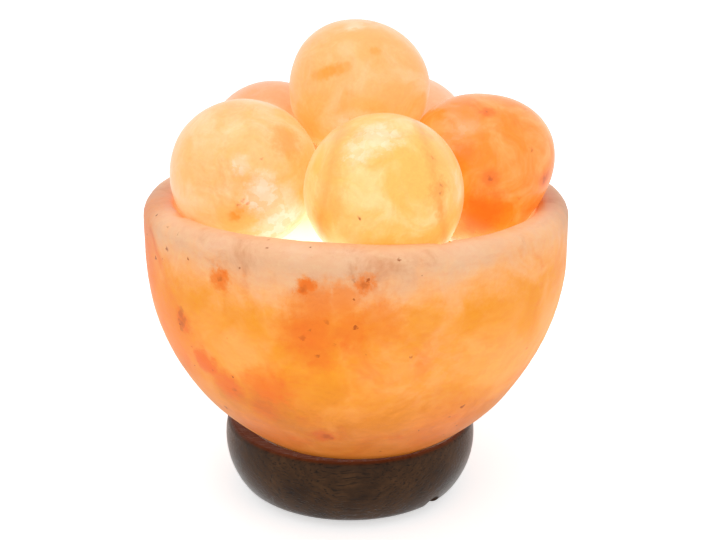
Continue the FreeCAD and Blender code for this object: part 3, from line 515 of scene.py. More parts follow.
def make_bowl(material):
    """The carved bowl. Where a ball rests its wall gives way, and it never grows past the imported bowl."""
    inner = BOWL_RADIUS - RIM_WALL
    outside = outline([
        (HOLE_RADIUS, BOWL_FOOT),
        (FOOT_RADIUS, BOWL_FOOT),
        (BOWL_RADIUS, WALL_START, arc_radius(BOWL_RADIUS - FOOT_RADIUS, WALL_START - BOWL_FOOT), 1),
        (BOWL_RADIUS, BOWL_RIM - RIM_OUTER_ROUND),
        (BOWL_RADIUS - RIM_OUTER_ROUND, BOWL_RIM, RIM_OUTER_ROUND, 1),
        (inner + RIM_INNER_ROUND, BOWL_RIM),
        (inner, BOWL_RIM - RIM_INNER_ROUND, RIM_INNER_ROUND, 1),
        (inner, HOLLOW_START),
        (HOLLOW_FLOOR_RADIUS, HOLLOW_FLOOR, arc_radius(inner - HOLLOW_FLOOR_RADIUS, HOLLOW_START - HOLLOW_FLOOR), -1),
        (HOLE_RADIUS, HOLLOW_FLOOR),
        (HOLE_RADIUS, BOWL_FOOT),
    ], BOWL_STEP)[:-1]
    sides = round(2 * math.pi * BOWL_RADIUS / BOWL_STEP)
    grid = carried_round(outside[:, 0], outside[:, 1], sides)
    rows = len(outside)

    ahead, behind = np.roll(outside, -1, axis=0), np.roll(outside, 1, axis=0)
    along = ahead - behind
    along /= np.hypot(along[:, 0], along[:, 1])[:, None]
    out, up = along[:, 1], -along[:, 0]
    turns = np.arange(sides) * 2 * math.pi / sides
    normals = np.stack([np.outer(out, np.cos(turns)), np.outer(out, np.sin(turns)),
                        np.outer(up, np.ones(sides))], axis=2).reshape(-1, 3)
    points = grid.reshape(-1, 3)

    hollows = unevenness(points, BROAD_HOLLOW, 1) * BROAD_DEPTH + unevenness(points, SMALL_HOLLOW, 2) * SMALL_DEPTH
    grooves = unevenness(points * ROUND_GROOVE, GROOVE, 3) * GROOVE_DEPTH
    pits = np.minimum(unevenness(points, PIT, 4) + PIT_SHARE, 0) * PIT_DEPTH
    free = smooth_step(points[:, 2], BOWL_FOOT + 8, BOWL_FOOT + 22)
    free *= smooth_step(np.hypot(points[:, 0], points[:, 1]), HOLE_RADIUS, HOLE_RADIUS + 6)
    moved = (hollows + grooves + pits) * free
    for azimuth, radius, height, reach, depth in CHIPS:
        angle = math.radians(azimuth)
        centre = np.array([radius * math.cos(angle), radius * math.sin(angle), height])
        near = np.linalg.norm(points - centre, axis=1) + unevenness(points, 2.5, 5) * 0.8
        moved -= depth * (1 - smooth_step(near, reach * 0.55, reach))
    points = points + normals * moved[:, None]
    azimuths = np.degrees(np.arctan2(points[:, 1], points[:, 0]))
    high_up = smooth_step(points[:, 2], BOWL_RIM - 40, BOWL_RIM)
    for azimuth, rise, width in RIM_RISES:
        turn = (azimuths - azimuth + 180) % 360 - 180
        points[:, 2] += rise * np.exp(-(turn / width) ** 2) * high_up
    for centre, radius in ball_places.values():
        away = points - centre
        distance = np.linalg.norm(away, axis=1)
        rubbed = distance < radius + BALL_CLEAR
        points[rubbed] = centre + away[rubbed] / distance[rubbed, None] * (radius + BALL_CLEAR)
    reach = np.hypot(points[:, 0], points[:, 1])
    points[:, :2] *= np.minimum(1, BOWL_RADIUS / reach)[:, None]

    bowl = new_piece("carved_bowl", points, grid_faces(rows, sides, closed=True), material, crease=55)
    inner_rows = np.arange(rows) - int(np.argmax((outside[:, 0] < inner + 1.5) & (outside[:, 1] > BOWL_RIM - 3)))
    inside = smooth_step(inner_rows.astype(float), 9, 26) * (outside[:, 1] > BOWL_FOOT + 1)
    bowl.data.attributes.new("inside", "FLOAT", "POINT").data.foreach_set("value", np.repeat(inside, sides))
    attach(bowl, "base_and_bowl")
    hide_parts("salt_bowl")
    return bowl


# %% Spots on the bowl
def on_bowl(azimuth, height):
    """The point on the bowl's outside at an azimuth in degrees and a height in mm."""
    curve = arc_radius(BOWL_RADIUS - FOOT_RADIUS, WALL_START - BOWL_FOOT)
    radius = BOWL_RADIUS - curve + math.sqrt(curve ** 2 - max(WALL_START - height, 0) ** 2)
    return (radius * math.cos(math.radians(azimuth)), radius * math.sin(math.radians(azimuth)), height)


def on_rim(azimuth, radius):
    """The point on the bowl's rim at an azimuth in degrees and a distance from the axis in mm."""
    return (radius * math.cos(math.radians(azimuth)), radius * math.sin(math.radians(azimuth)), BOWL_RIM)


# spots on the wall: azimuth in degrees, height in mm, radius in mm, strength
WALL_SPOTS = {
    "stains": (
        (-102, 103, 5.5, 0.9), (-99, 98, 11, 0.6), (-93, 100, 9, 0.55), (-101, 88, 15, 0.75), (-91, 90, 11, 0.6),
        (-99, 79, 8, 0.6), (-125, 102, 6, 0.75), (-141, 82, 7, 0.8), (-135, 68, 9, 0.9), (-129, 61, 10, 0.8),
        (-115, 64, 13, 0.7), (-118, 54, 9, 0.5), (-100, 44, 6, 0.8), (-84, 92, 12, 0.4), (-166, 94, 30, 0.7),
        (-152, 74, 30, 0.5), (-58, 44, 24, 0.3), (-124, 40, 18, 0.3), (-88, 104.5, 5.5, 0.6), (120, 80, 14, 0.6),
        (40, 60, 16, 0.5)),
    "marks": (
        (-102.5, 102.5, 1.8, 0.5), (-125, 102, 1.6, 0.6), (-88, 104.5, 1.7, 0.6), (-90.5, 106, 1.0, 0.5),
        (-140.5, 86.5, 2.0, 0.45), (-141.2, 84.5, 2.6, 0.6), (-140.2, 82.8, 2.4, 0.5), (-141.6, 81, 2.7, 0.7),
        (-142.2, 78.8, 2.1, 0.55), (-97, 92, 1.3, 0.45), (-103, 86, 1.2, 0.45), (-95, 84, 1.1, 0.4),
        (-133, 66, 1.3, 0.45), (-127, 60, 1.2, 0.4), (-100, 44, 2.4, 0.6), (-98.5, 43, 1.4, 0.5),
        (-146, 106, 1.1, 0.9), (-149, 101, 0.9, 0.7), (-99.5, 80, 1.0, 0.8), (-101, 89, 0.9, 0.6)),
    # painted light: a faint brighter glow on the front, right of centre
    "painted_light_spots": (
        (-72, 74, 26, 0.07),),
}
# spots on the rim: azimuth in degrees, distance from the axis in mm, radius in mm, strength
RIM_SPOTS = {
    "stains": (),
    # the first two marks, large and faint on the rim's left and right sides, are painted shade; the others are small
    # brown specks
    "marks": (
        (184, 66, 34, 0.42), (-4, 66, 34, 0.42), (-59.5, 65, 3.2, 1.0), (-62.5, 65.4, 3.2, 1.0),
        (-147, 66.5, 1.8, 0.5)),
    # painted light: painted highlights on the front of the rim
    "painted_light_spots": (
        (-104, 73, 7, 0.5), (-92, 74, 8, 0.35), (-62, 74, 10, 0.35), (-128, 73, 10, 0.4)),
}
# painted shade: where the far wall shows between two balls, an iron stain is put on it, so that its painted glow
# stays orange instead of white hot
PAINTED_FAR_SHADE = ((41.5, 48.0, 84.0), 24, 1.0)

bowl_spots = {}
for kind in WALL_SPOTS:
    bowl_spots[kind] = [(on_bowl(azimuth, height), *spot) for azimuth, height, *spot in WALL_SPOTS[kind]]
    bowl_spots[kind] += [(on_rim(azimuth, radius), *spot) for azimuth, radius, *spot in RIM_SPOTS[kind]]
bowl_spots["stains"].append(PAINTED_FAR_SHADE)
print("spots on the bowl:", {kind: len(spots) for kind, spots in bowl_spots.items()})

# %% Salt for the bowl
bowl_salt = make_salt(
    "carved rock salt", skin=("#edb890", "#aa6010", "#bc6420"), light=("#f4ac62", "#f89e20", "#e45c04"),
    level=0.86, fall=1.2, seed=1, clay=0.6, polish=0.05, sheen=0.06, cloud=36, milk=0.25, texture=0.14,
    drawn=(0.35, 0.35, 1), walls=(48, 92, 105, 130), **bowl_spots)
bowl = make_bowl(bowl_salt)
print("bowl:", len(bowl.data.vertices), "points")


# %% [markdown]
# ## The six balls
#
# Each ball is ground from its own piece of salt, so no two match: the one in front is nearly clear and yellow,
# the right one holds much iron, the two behind are pink and cloudy. A UV sphere bunches its faces at the
# poles, where pits would look pinched. An icosphere has even faces all over. Its points are moved in and out
# by a few tenths of a millimetre, as hand grinding leaves them, and pressed in where a flake has come off.

# %% The six stones
BALL_LEVELS = 6
BALL_FALL = 0.25    # a ball spreads its light within itself, so it fades slowly over its skin
BALL_HOLLOW, BALL_HOLLOW_DEPTH = 21, 0.25   # mm across and deep, as for the bowl
BALL_DENT, BALL_DENT_DEPTH = 8, 0.1
BALL_WORN = 0.2                             # mm that the whole skin has lost
FLAKE, FLAKE_SHARE, FLAKE_DEPTH = 4.5, 0.45, 0.7
# bulges are (azimuth, elevation, rise in mm); stains, marks and the spots of painted light are (azimuth,
# elevation, radius in mm, strength); seams are (direction, mm from the ball's middle, half width in mm, strength)
salt_balls = {
    "front": dict(
        skin=("#e2c294", "#c89e54", "#c88a44"), light=("#ffcf86", "#ffb044", "#f6942a"), level=0.62, clay=0.3,
        sheen=0.35, seed=11,
        bulges=((0, 0, 0.9), (180, 0, 0.6), (-90, 80, -0.4), (-48, -58, 2.6)),
        stains=((-45, 33, 4, 0.5), (-24, 51, 3, 0.5), (-46, 12, 5.5, 0.8), (-132, 5, 9, 0.4)),
        marks=((-108, -6, 0.9, 1.0), (-44, 14, 1.0, 0.5), (-46, 9, 0.9, 0.5), (-44, 34, 0.9, 0.4),
               (-58, -24, 0.8, 0.6)),
        # painted light: the first two spots are painted highlights on the upper left, the third a brighter glow
        painted_light_spots=((-98, 58, 10, 0.8), (-116, 42, 8, 0.6), (-20, 8, 7, 0.25)),
        seams=(((0.97, 0.1, 0.2), 15.5, 2.4, 1.5), ((-0.98, 0.1, 0.17), 17, 4.0, 1.2))),
    "right": dict(
        skin=("#d89a6c", "#b8600e", "#a84c12"), light=("#f8a850", "#fa8c1c", "#e86408"), level=0.72, clay=0.8,
        sheen=0.04, seed=12,
        bulges=((-5, 22, 2.2), (-90, 80, -1.5), (-85, -62, 2.8), (-118, -48, 2.6)),
        stains=((-81, 59, 4, 0.6), (-85, 2, 5, 0.6), (-32, -5, 5, 0.6), (-90, -27, 13, 0.9), (-107, 19, 7, 0.35)),
        # the last mark, large and soft on the underside, is painted shade that dims the glow there
        marks=((-81, 59, 1.3, 0.8), (-85, 2, 1.6, 0.8), (-32, -5, 1.9, 0.8), (-18, 51, 1.3, 0.8), (-47, 20, 1.3, 0.7),
               (-60, -16, 1.0, 0.6), (-98, -22, 1.0, 0.6), (-118, -62, 14, 0.6)),
        # painted light: a paler crescent on the front left, towards the front ball
        painted_light_spots=((-122, 40, 13, 0.12), (-130, 10, 11, 0.14))),
    "left": dict(
        skin=("#e0b898", "#c89860", "#c4823c"), light=("#ffc488", "#ffb45c", "#f5881c"), level=0.58, clay=0.4,
        sheen=0.25, seed=13,
        bulges=((180, 20, 0.3),),
        stains=((-90, -13, 2.6, 0.5), (-95, -19, 3, 0.8), (-43, 36, 9, 0.6)),
        marks=((-88, -6, 0.9, 0.6), (-84, -8, 0.8, 0.6), (-91, -9, 0.8, 0.6), (-71, 25, 1.0, 0.5),
               (-77, -11, 0.7, 0.5)),
        # painted light: white patches on the front, towards the gap by the front ball
        painted_light_spots=((-71, 6, 7, 1.0), (-89, 21, 5, 0.6), (-73, -4, 9, 0.8), (-55, -30, 12, 1.0), (-60, -12, 11, 0.6))),
    "top": dict(
        skin=("#e2b090", "#d2925c", "#cc8034"), light=("#ffaa66", "#ff9a40", "#f28a20"), level=0.72, clay=0.15,
        sheen=0.2, seed=14,
        bulges=((0, 5, 1.6), (180, 5, -1.3), (0, 90, -0.6)),
        stains=((-126, 19, 3.0, 0.5), (-121, 20, 3.2, 0.8), (-116, 22, 3.4, 1.0), (-110, 24, 3.2, 1.0),
                (-104, 26, 3.0, 0.8), (-98, 28, 2.6, 0.5), (-69, 41, 3.0, 0.6)),
        # painted light: a small painted highlight high in front, and a brighter glow low in front
        painted_light_spots=((-92, 72, 5, 0.4), (-90, -30, 14, 0.3))),
    "back_left": dict(
        skin=("#dca88c", "#cc8c64", "#c0784a"), light=("#ffaa70", "#ff9850", "#f58a44"), level=0.55, clay=0.2,
        sheen=0.2, seed=15, stains=((60, 20, 8, 0.5),)),
    "back_right": dict(
        skin=("#e2b098", "#d49c7c", "#c88458"), light=("#ffb284", "#ffa064", "#f59450"), level=0.58, clay=0.2,
        sheen=0.2, seed=16, bulges=((10, 20, 2.2), (0, 90, 0.8)), stains=((100, -10, 8, 0.5),)),
}


# %% Grind the balls
def way_to(azimuth, elevation):
    """The direction at an azimuth and an elevation in degrees."""
    flat = math.cos(math.radians(elevation))
    return np.array([flat * math.cos(math.radians(azimuth)), flat * math.sin(math.radians(azimuth)),
                     math.sin(math.radians(elevation))])


def ground_ball(name, centre, radius, bulges, seed, material):
    """A ball that is a little out of round, with a few shallow flakes gone. A bulge is a direction and the
    millimetres by which the ball stands out there."""
    made = bmesh.new()
    bmesh.ops.create_icosphere(made, subdivisions=BALL_LEVELS, radius=1.0)
    ways = np.array([point.co for point in made.verts])
    faces = [[point.index for point in face.verts] for face in made.faces]
    made.free()
    surface = ways * radius
    height = unevenness(surface, BALL_HOLLOW, seed) * BALL_HOLLOW_DEPTH
    height += unevenness(surface, BALL_DENT, seed + 50) * BALL_DENT_DEPTH - BALL_WORN
    height += np.minimum(unevenness(surface, FLAKE, seed + 80) + FLAKE_SHARE, 0) * FLAKE_DEPTH
    for azimuth, elevation, rise in bulges:
        height += rise * np.maximum(ways @ way_to(azimuth, elevation), 0) ** 4
    return new_piece(name, ways * (radius + height)[:, None] + centre, faces, material, crease=180)


for name, make in salt_balls.items():
    centre, radius = ball_places[name]
    spots = {kind: [(centre + way_to(azimuth, elevation) * radius, reach, strength)
                    for azimuth, elevation, reach, strength in make.get(kind, ())]
             for kind in ("stains", "marks", "painted_light_spots")}
    seams = [(centre + np.array(way) * off, way, reach, strength)
             for way, off, reach, strength in make.get("seams", ())]
    salt = make_salt(f"{name} ball salt", make["skin"], make["light"], make["level"], BALL_FALL, make["seed"],
                     clay=make["clay"], sheen=make["sheen"], seams=seams, **spots)
    ball = ground_ball(f"salt_ball_{name}", centre, radius, make.get("bulges", ()), make["seed"], salt)
    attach(ball, f"{name}_ball")
    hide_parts(f"ball_{name}")
    print(ball.name, "radius", round(radius, 1), "centre", centre.round(1))


# %% [markdown]
# ## The wooden base
#
# The bowl stands in a turned disc of sheesham, a dense Indian hardwood, stained nearly black and wiped with oil.
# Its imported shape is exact, with the dish, the bore and the channel for the cord, so it stays and only gets its
# wood. An image of a board would need the base unwrapped, and would not meet at the edges. Growth rings are
# shells round the heart of a tree, so they are worked out in space as a distance from that heart. The base then
# cuts through them as it does through real wood: level lines in front, wide arcs underneath.

# %% Stained wood
WOOD_HEART = (0.0, 70.0, -46.0)   # mm, a point in the heart of the tree, which lies along X
WOOD_RING = 2.2                   # mm between growth rings
WOOD_PORE = 0.55                  # mm across a pore: twice the real width, which would be lost
WOOD_DRAWN = 12                   # a pore is this many times longer than wide
WOOD_BEND, WOOD_BEND_WIDTH = 10.0, 26.0   # mm by which the grain wanders, and over what width
WOOD_PATCH = 11.0                 # mm across a patch of deeper stain
SEAT_STRIP, SEAT_LIGHT = 0.9, 0.1 # mm of the upper edge that the salt lights, and how strongly
WOOD_TOP = span("wood_base")[1][2]


def finish_node(node, material):
    """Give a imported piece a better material. Its mesh stays as it is."""
    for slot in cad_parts[node].material_slots:
        slot.material = material


def make_wood():
    """Stained, oiled hardwood: dark brown where it faces the eye, greyer at its edges, where the wax mirrors
    the room, with fine pores that hold the stain. A painted red glow along its upper edge stands in for the salt's
    light."""
    material, surface, add = new_material("stained sheesham", {"Specular IOR Level": 0.14, "Sheen Weight": 1.0,
                                                          "Sheen Roughness": 0.3, "Emission Strength": 1.0})
    own = add("TexCoord", out="Object")
    bends = add("TexNoise", {"Vector": own, "Scale": per_mm(WOOD_BEND_WIDTH), "Detail": 2}, out="Color")
    bent = add("VectorMath", {0: bends, 1: (WOOD_BEND * MM,) * 3, 2: own}, operation="MULTIPLY_ADD")
    from_heart = add("VectorMath", {0: bent, 1: np.array(WOOD_HEART) * MM}, operation="SUBTRACT")
    from_heart = add("VectorMath", {0: from_heart, 1: (0.1, 1, 1)}, operation="MULTIPLY")
    depth = add("VectorMath", {0: from_heart}, operation="LENGTH", out="Value")
    rings = add("Math", {0: depth, 1: 2 * math.pi / (WOOD_RING * MM)}, operation="MULTIPLY")
    rings = add("Math", {0: rings}, operation="SINE")
    rings = add("MapRange", {"Value": rings, "From Min": -0.2, "From Max": 1.0})
    drawn = add("VectorMath", {0: bent, 1: (1 / WOOD_DRAWN, 1, 1)}, operation="MULTIPLY")
    pores = add("TexNoise", {"Vector": drawn, "Scale": per_mm(WOOD_PORE), "Detail": 2})
    pores = add("MapRange", {"Value": pores, "From Min": 0.54, "From Max": 0.66})
    stain = add("TexNoise", {"Vector": own, "Scale": per_mm(WOOD_PATCH), "Detail": 6, "Roughness": 0.65})
    stain = add("MapRange", {"Value": stain, "From Min": 0.35, "From Max": 0.7})

    shade = add("Mix", {0: stain, 6: linear("#352110"), 7: linear("#553a22")}, data_type="RGBA", out=2)
    late = add("Math", {0: rings, 1: 0.22}, operation="MULTIPLY")
    shade = add("Mix", {0: late, 6: shade, 7: linear("#1b1009")}, data_type="RGBA", out=2)
    filled = add("Math", {0: pores, 1: 0.7}, operation="MULTIPLY")
    shade = add("Mix", {0: filled, 6: shade, 7: linear("#0e0804")}, data_type="RGBA", out=2)
    height = add("SeparateXYZ", {0: own}, out="Z")
    # painted light: a red glow along the upper edge, where the salt's light falls on the wood
    seated = add("MapRange", {"Value": height, "From Min": (WOOD_TOP - SEAT_STRIP) * MM, "From Max": WOOD_TOP * MM,
                              "To Max": SEAT_LIGHT}, interpolation_type="SMOOTHSTEP")
    warm = add("VectorMath", {0: linear("#c04414")[:3], "Scale": seated}, operation="SCALE")
    dull = add("MapRange", {"Value": stain, "To Min": 0.42, "To Max": 0.6})
    relief = add("Math", {0: pores, 1: -1.0}, operation="MULTIPLY")
    relief = add("Bump", {"Height": relief, "Distance": 0.06 * MM, "Strength": 0.7})
    set_inputs(surface, {"Base Color": shade, "Emission Color": warm, "Roughness": dull, "Normal": relief})
    return material


finish_node("wood_base", make_wood())
print("wooden base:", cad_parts["wood_base"].material_slots[0].material.name)


# %% [markdown]
# ## Metals
#
# The holder's plate is galvanised, its clip is rolled spring steel, its contacts are brass, the bulb's cap is
# nickel plated, and the screws are zinc plated. To the eye these differ in colour and in how their shine breaks
# up, so one function makes them all: a noise that is drawn out the way the tool went, and soft patches of
# tarnish. A metal mirrors the white surround, so it needs little colour of its own.

# %% Metal finishes
def make_metal(name, shade, tarnish, roughness, mark, drawn=(1, 1, 1), relief=0.01, spangle=None):
    """Bare or plated metal: bright where it mirrors the room, dull in soft patches of tarnish. Its tool marks
    are mark mm across and relief mm deep, drawn out the way that drawn says. spangle is the width in mm of the
    flat crystals on galvanised steel."""
    material, surface, add = new_material(name, {"Metallic": 1.0})
    own = add("TexCoord", out="Object")
    along = add("VectorMath", {0: own, 1: drawn}, operation="MULTIPLY")
    marks = add("TexNoise", {"Vector": along, "Scale": per_mm(mark), "Detail": 4})
    patches = add("TexNoise", {"Vector": own, "Scale": per_mm(6), "Detail": 4})
    patches = add("MapRange", {"Value": patches, "From Min": 0.4, "From Max": 0.72})
    if spangle:
        cells = add("TexVoronoi", {"Vector": own, "Scale": per_mm(spangle)}, out="Color")
        cells = add("SeparateXYZ", {0: cells})
        patches = add("Math", {0: patches, 1: cells}, operation="MAXIMUM")
    colour = add("Mix", {0: patches, 6: linear(shade), 7: linear(tarnish)}, data_type="RGBA", out=2)
    dull = add("Math", {0: marks, 1: patches}, operation="ADD")
    dull = add("MapRange", {"Value": dull, "From Min": 0.3, "From Max": 1.4, "To Min": roughness,
                            "To Max": roughness + 0.22})
    bumps = add("Bump", {"Height": marks, "Distance": relief * MM, "Strength": 0.6})
    set_inputs(surface, {"Base Color": colour, "Roughness": dull, "Normal": bumps})
    return material


ACROSS, UPRIGHT = (1, 1, 14), (1, 1, 0.07)
zinc_plate = make_metal("galvanised steel", "#b9bdc0", "#8d9396", 0.3, 0.8, spangle=3.5)
spring_steel = make_metal("rolled spring steel", "#8f9296", "#6d6a68", 0.2, 0.5, UPRIGHT, 0.012)
brass = make_metal("rolled brass", "#d9b765", "#9c7536", 0.22, 0.6, ACROSS, 0.008)
nickel = make_metal("nickel plate", "#c9c5bc", "#a39c8d", 0.16, 0.7, ACROSS, 0.006)
lead_nickel = make_metal("drawn nickel wire", "#a8a59c", "#7d7668", 0.3, 0.3, UPRIGHT, 0.01)
zinc_screw = make_metal("zinc plated steel", "#b7b29e", "#8f8a70", 0.26, 0.5, ACROSS, 0.01)
solder = make_metal("tin solder", "#a9abad", "#85878a", 0.34, 0.9, (1, 1, 1), 0.06)
for node, finish in (("holder_plate", zinc_plate), ("spring_clip", spring_steel), ("centre_contact", brass),
                     ("terminals", brass), ("terminal_screws", zinc_screw), ("lead_wires", lead_nickel),
                     ("tip_contact", solder)):
    finish_node(node, finish)
print("metals:", [finish.name for finish in (zinc_plate, spring_steel, brass, nickel, lead_nickel, zinc_screw)])


# %% [markdown]
# ## Plastic, ceramic, rubber and glass
#
# The holder is moulded in a white plastic that stands heat, and the bulb has still yellowed its upper end. The
# contact block is pressed steatite, a dull ceramic with dark grains. The feet are black rubber. The bulb is
# clear glass, with a black glass bead between its cap and its tip.

# %% Plastic and ceramic
HOLDER_TOP = span("holder_body")[1][2]
HEAT_REACH = 16.0   # mm of the holder's upper end that the bulb has yellowed


def make_holder_plastic():
    """Satin white plastic with a fine spark-eroded skin, cream where heat has reached it."""
    material, surface, add = new_material("white moulded plastic", {"IOR": 1.5, "Specular IOR Level": 0.45})
    own = add("TexCoord", out="Object")
    skin = add("TexNoise", {"Vector": own, "Scale": per_mm(0.5), "Detail": 2})
    drift = add("TexNoise", {"Vector": own, "Scale": per_mm(9), "Detail": 3})
    height = add("SeparateXYZ", {0: own}, out="Z")
    height = add("Math", {0: drift, 1: 8 * MM, 2: height}, operation="MULTIPLY_ADD")
    heated = add("MapRange", {"Value": height, "From Min": (HOLDER_TOP - HEAT_REACH) * MM,
                              "From Max": (HOLDER_TOP + 4) * MM})
    colour = add("Mix", {0: heated, 6: linear("#dedbd0"), 7: linear("#cbb787")}, data_type="RGBA", out=2)
    dull = add("MapRange", {"Value": drift, "To Min": 0.36, "To Max": 0.52})
    bumps = add("Bump", {"Height": skin, "Distance": 0.02 * MM, "Strength": 0.6})
    set_inputs(surface, {"Base Color": colour, "Roughness": dull, "Normal": bumps})
    return material


def make_speckled(name, shade, grain_shade, grain, cover, roughness, relief, values):
    """A pressed or moulded mass with small grains of another colour: steatite with dark grains, rubber with
    a bloom of dust, glass with a drift of its melt. cover is the share of the mass that the grains take."""
    material, surface, add = new_material(name, values)
    own = add("TexCoord", out="Object")
    grains = add("TexNoise", {"Vector": own, "Scale": per_mm(grain), "Detail": 3})
    shown = add("MapRange", {"Value": grains, "From Min": 0.75 - 0.5 * cover, "From Max": 0.85 - 0.5 * cover})
    colour = add("Mix", {0: shown, 6: linear(shade), 7: linear(grain_shade)}, data_type="RGBA", out=2)
    dull = add("MapRange", {"Value": grains, "To Min": roughness * 0.85, "To Max": roughness * 1.15})
    bumps = add("Bump", {"Height": grains, "Distance": relief * MM, "Strength": 0.6})
    set_inputs(surface, {"Base Color": colour, "Roughness": dull, "Normal": bumps})
    return material


holder_plastic = make_holder_plastic()
ceramic = make_speckled("pressed steatite", "#d9d5c8", "#8e887a", 0.5, 0.25, 0.7, 0.03, {"IOR": 1.55})
rubber = make_speckled("black rubber", "#0d0d0d", "#1d1c1a", 0.9, 0.5, 0.75, 0.05, {"IOR": 1.52})
black_glass = make_speckled("black glass", "#060606", "#0d0b0a", 2.0, 0.5, 0.08, 0.02,
                            {"IOR": 1.5, "Coat Weight": 0.5, "Coat Roughness": 0.05})
for node, finish in (("holder_body", holder_plastic), ("holder_cap", holder_plastic), ("contact_block", ceramic),
                     ("cap_insulator", black_glass), ("rubber_foot_1", rubber), ("rubber_foot_2", rubber),
                     ("rubber_foot_3", rubber), ("rubber_foot_4", rubber)):
    finish_node(node, finish)

# %% Clear glass
# clear soda glass with a faint warm tint: it shows by its edges and by what it mirrors
lamp_glass = make_speckled("clear lamp glass", "#fff8ec", "#fff3df", 5.0, 0.5, 0.02, 0.04,
                           {"IOR": 1.5, "Transmission Weight": 1.0})
for node in ("bulb_glass", "glass_stem"):
    finish_node(node, lamp_glass)


# %% [markdown]
# ## Rolled threads
#
# The bulb's cap and the shell that it screws into are thin metal with a thread rolled into it, 2.82 mm to a
# turn as on every small screw bulb. A thread could be cut by sweeping a profile along a helix. Rolling it is
# simpler: each point of the turned wall moves in or out with its height and its angle, and both faces of the
# metal move together. Shell and cap use one helix, so they still mesh after any number of whole turns.

# %% Roll the threads
THREAD_TURN = 2.82
THREAD_DEPTH = 0.75
THREAD_SIDES = 72
CAP_WALL, SHELL_WALL = 0.4, 0.6
CAP_TAPER = 2.0
THREAD_PLAIN = 2.0   # mm of plain wall at the ends of a thread
RIVET_PLACE, RIVET_RADIUS = 6.0, 0.9


def rolled(path, low, high, sides, turn=THREAD_TURN, depth=THREAD_DEPTH):
    """A turned wall with a thread rolled into it between two heights: a grid of points."""
    wall = outline(path, turn / 8)[:-1]
    grid = carried_round(wall[:, 0], wall[:, 1], sides)
    turns = np.arange(sides) * 2 * math.pi / sides
    phase = wall[:, 1, None] * 2 * math.pi / turn - turns[None, :]
    ends = smooth_step(wall[:, 1], low, low + turn / 2) * (1 - smooth_step(wall[:, 1], high - turn / 2, high))
    inward = depth * (0.5 - 0.5 * np.cos(phase)) * ends[:, None]
    shrunk = 1 - np.minimum(inward / wall[:, 0, None], 0.6)
    grid[:, :, :2] *= shrunk[:, :, None]
    return grid


def piece_of_grids(name, grids, material, crease=40):
    """One mesh from several grids that each go all the way round and close on themselves."""
    points, faces = [], []
    for grid in grids:
        rows, sides = grid.shape[:2]
        start = sum(len(part) for part in points)
        points.append(grid.reshape(-1, 3))
        faces += [tuple(start + corner for corner in face) for face in grid_faces(rows, sides, closed=True)]
    return new_piece(name, np.concatenate(points), faces, material, crease)


cap_low, cap_high = span("bulb_cap")
cap_radius, cap_foot, cap_top = cap_high[0], cap_low[2], cap_high[2]
bead_radius = span("cap_insulator")[1][0]
cap_wall = [
    (bead_radius, cap_foot),
    (cap_radius, cap_foot + CAP_TAPER),
    (cap_radius, cap_top),
    (cap_radius - CAP_WALL, cap_top),
    (cap_radius - CAP_WALL, cap_foot + CAP_TAPER),
    (bead_radius - CAP_WALL, cap_foot + CAP_WALL),
    (bead_radius - CAP_WALL, cap_foot),
    (bead_radius, cap_foot),
]
threaded_cap = piece_of_grids("threaded_bulb_cap", [
    rolled(cap_wall, cap_foot + CAP_TAPER, cap_top - THREAD_PLAIN, THREAD_SIDES)], nickel)
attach(threaded_cap, "bulb")
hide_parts("bulb_cap")

shell_low, shell_high = span("screw_shell")
shell_radius, shell_top = shell_high[0], shell_high[2]
shell_foot = span("contact_block")[1][2]
SHELL_HOLE = 4.5
shell_wall = [
    (SHELL_HOLE, shell_foot),
    (shell_radius, shell_foot),
    (shell_radius, shell_top),
    (shell_radius - SHELL_WALL, shell_top),
    (shell_radius - SHELL_WALL, shell_foot + SHELL_WALL),
    (SHELL_HOLE, shell_foot + SHELL_WALL),
    (SHELL_HOLE, shell_foot),
]
rivet = carried_round(np.array([0.01, RIVET_RADIUS, RIVET_RADIUS, 0.01]),
                      np.array([shell_low[2], shell_low[2], shell_foot + 0.1, shell_foot + 0.1]), 24)
rivet[:, :, 0] += RIVET_PLACE
threaded_shell = piece_of_grids("threaded_shell", [
    rolled(shell_wall, shell_foot + THREAD_PLAIN, shell_top - THREAD_PLAIN / 2, THREAD_SIDES), rivet], brass)
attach(threaded_shell, "light_unit")
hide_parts("screw_shell")
print("threads:", len(threaded_cap.data.vertices), "and", len(threaded_shell.data.vertices), "points")


# %% [markdown]
# ## Wood screws
#
# Three screws come up through the base into the salt. Each has a sharp coarse thread, a pan head and a cross
# recess. The thread is rolled with the function above. The recess is a cut, so it is made as one: two tapered
# bars are subtracted from the head. Placing the cross's faces by hand would do, but a cut can't leave a gap.

# %% Wood screws
SCREW_TURN, SCREW_DEPTH, SCREW_SIDES = 1.6, 0.5, 36
SCREW_PLAIN = 3.0   # mm of plain shank under the head
SCREW_SHANK = 1.75
SCREW_POINT = 3.0
SCREW_HEAD = 2.4
CROSS_REACH, CROSS_HALF_WIDTH, CROSS_DEPTH = 1.9, 0.42, 1.4


def make_bar(name, foot, turn):
    """One tapered bar of the cross that a screwdriver bit leaves in a head. It points up from its foot."""
    corners = []
    for share, height in ((1.15, foot - 0.3), (0.35, foot + CROSS_DEPTH)):
        for along, across in ((-1, -1), (1, -1), (1, 1), (-1, 1)):
            x, y = along * CROSS_REACH * share, across * CROSS_HALF_WIDTH * (share + 1) / 2
            corners.append((x * math.cos(turn) - y * math.sin(turn), x * math.sin(turn) + y * math.cos(turn), height))
    faces = [(3, 2, 1, 0), (4, 5, 6, 7), (0, 1, 5, 4), (1, 2, 6, 5), (2, 3, 7, 6), (3, 0, 4, 7)]
    return new_piece(name, corners, faces, zinc_screw)


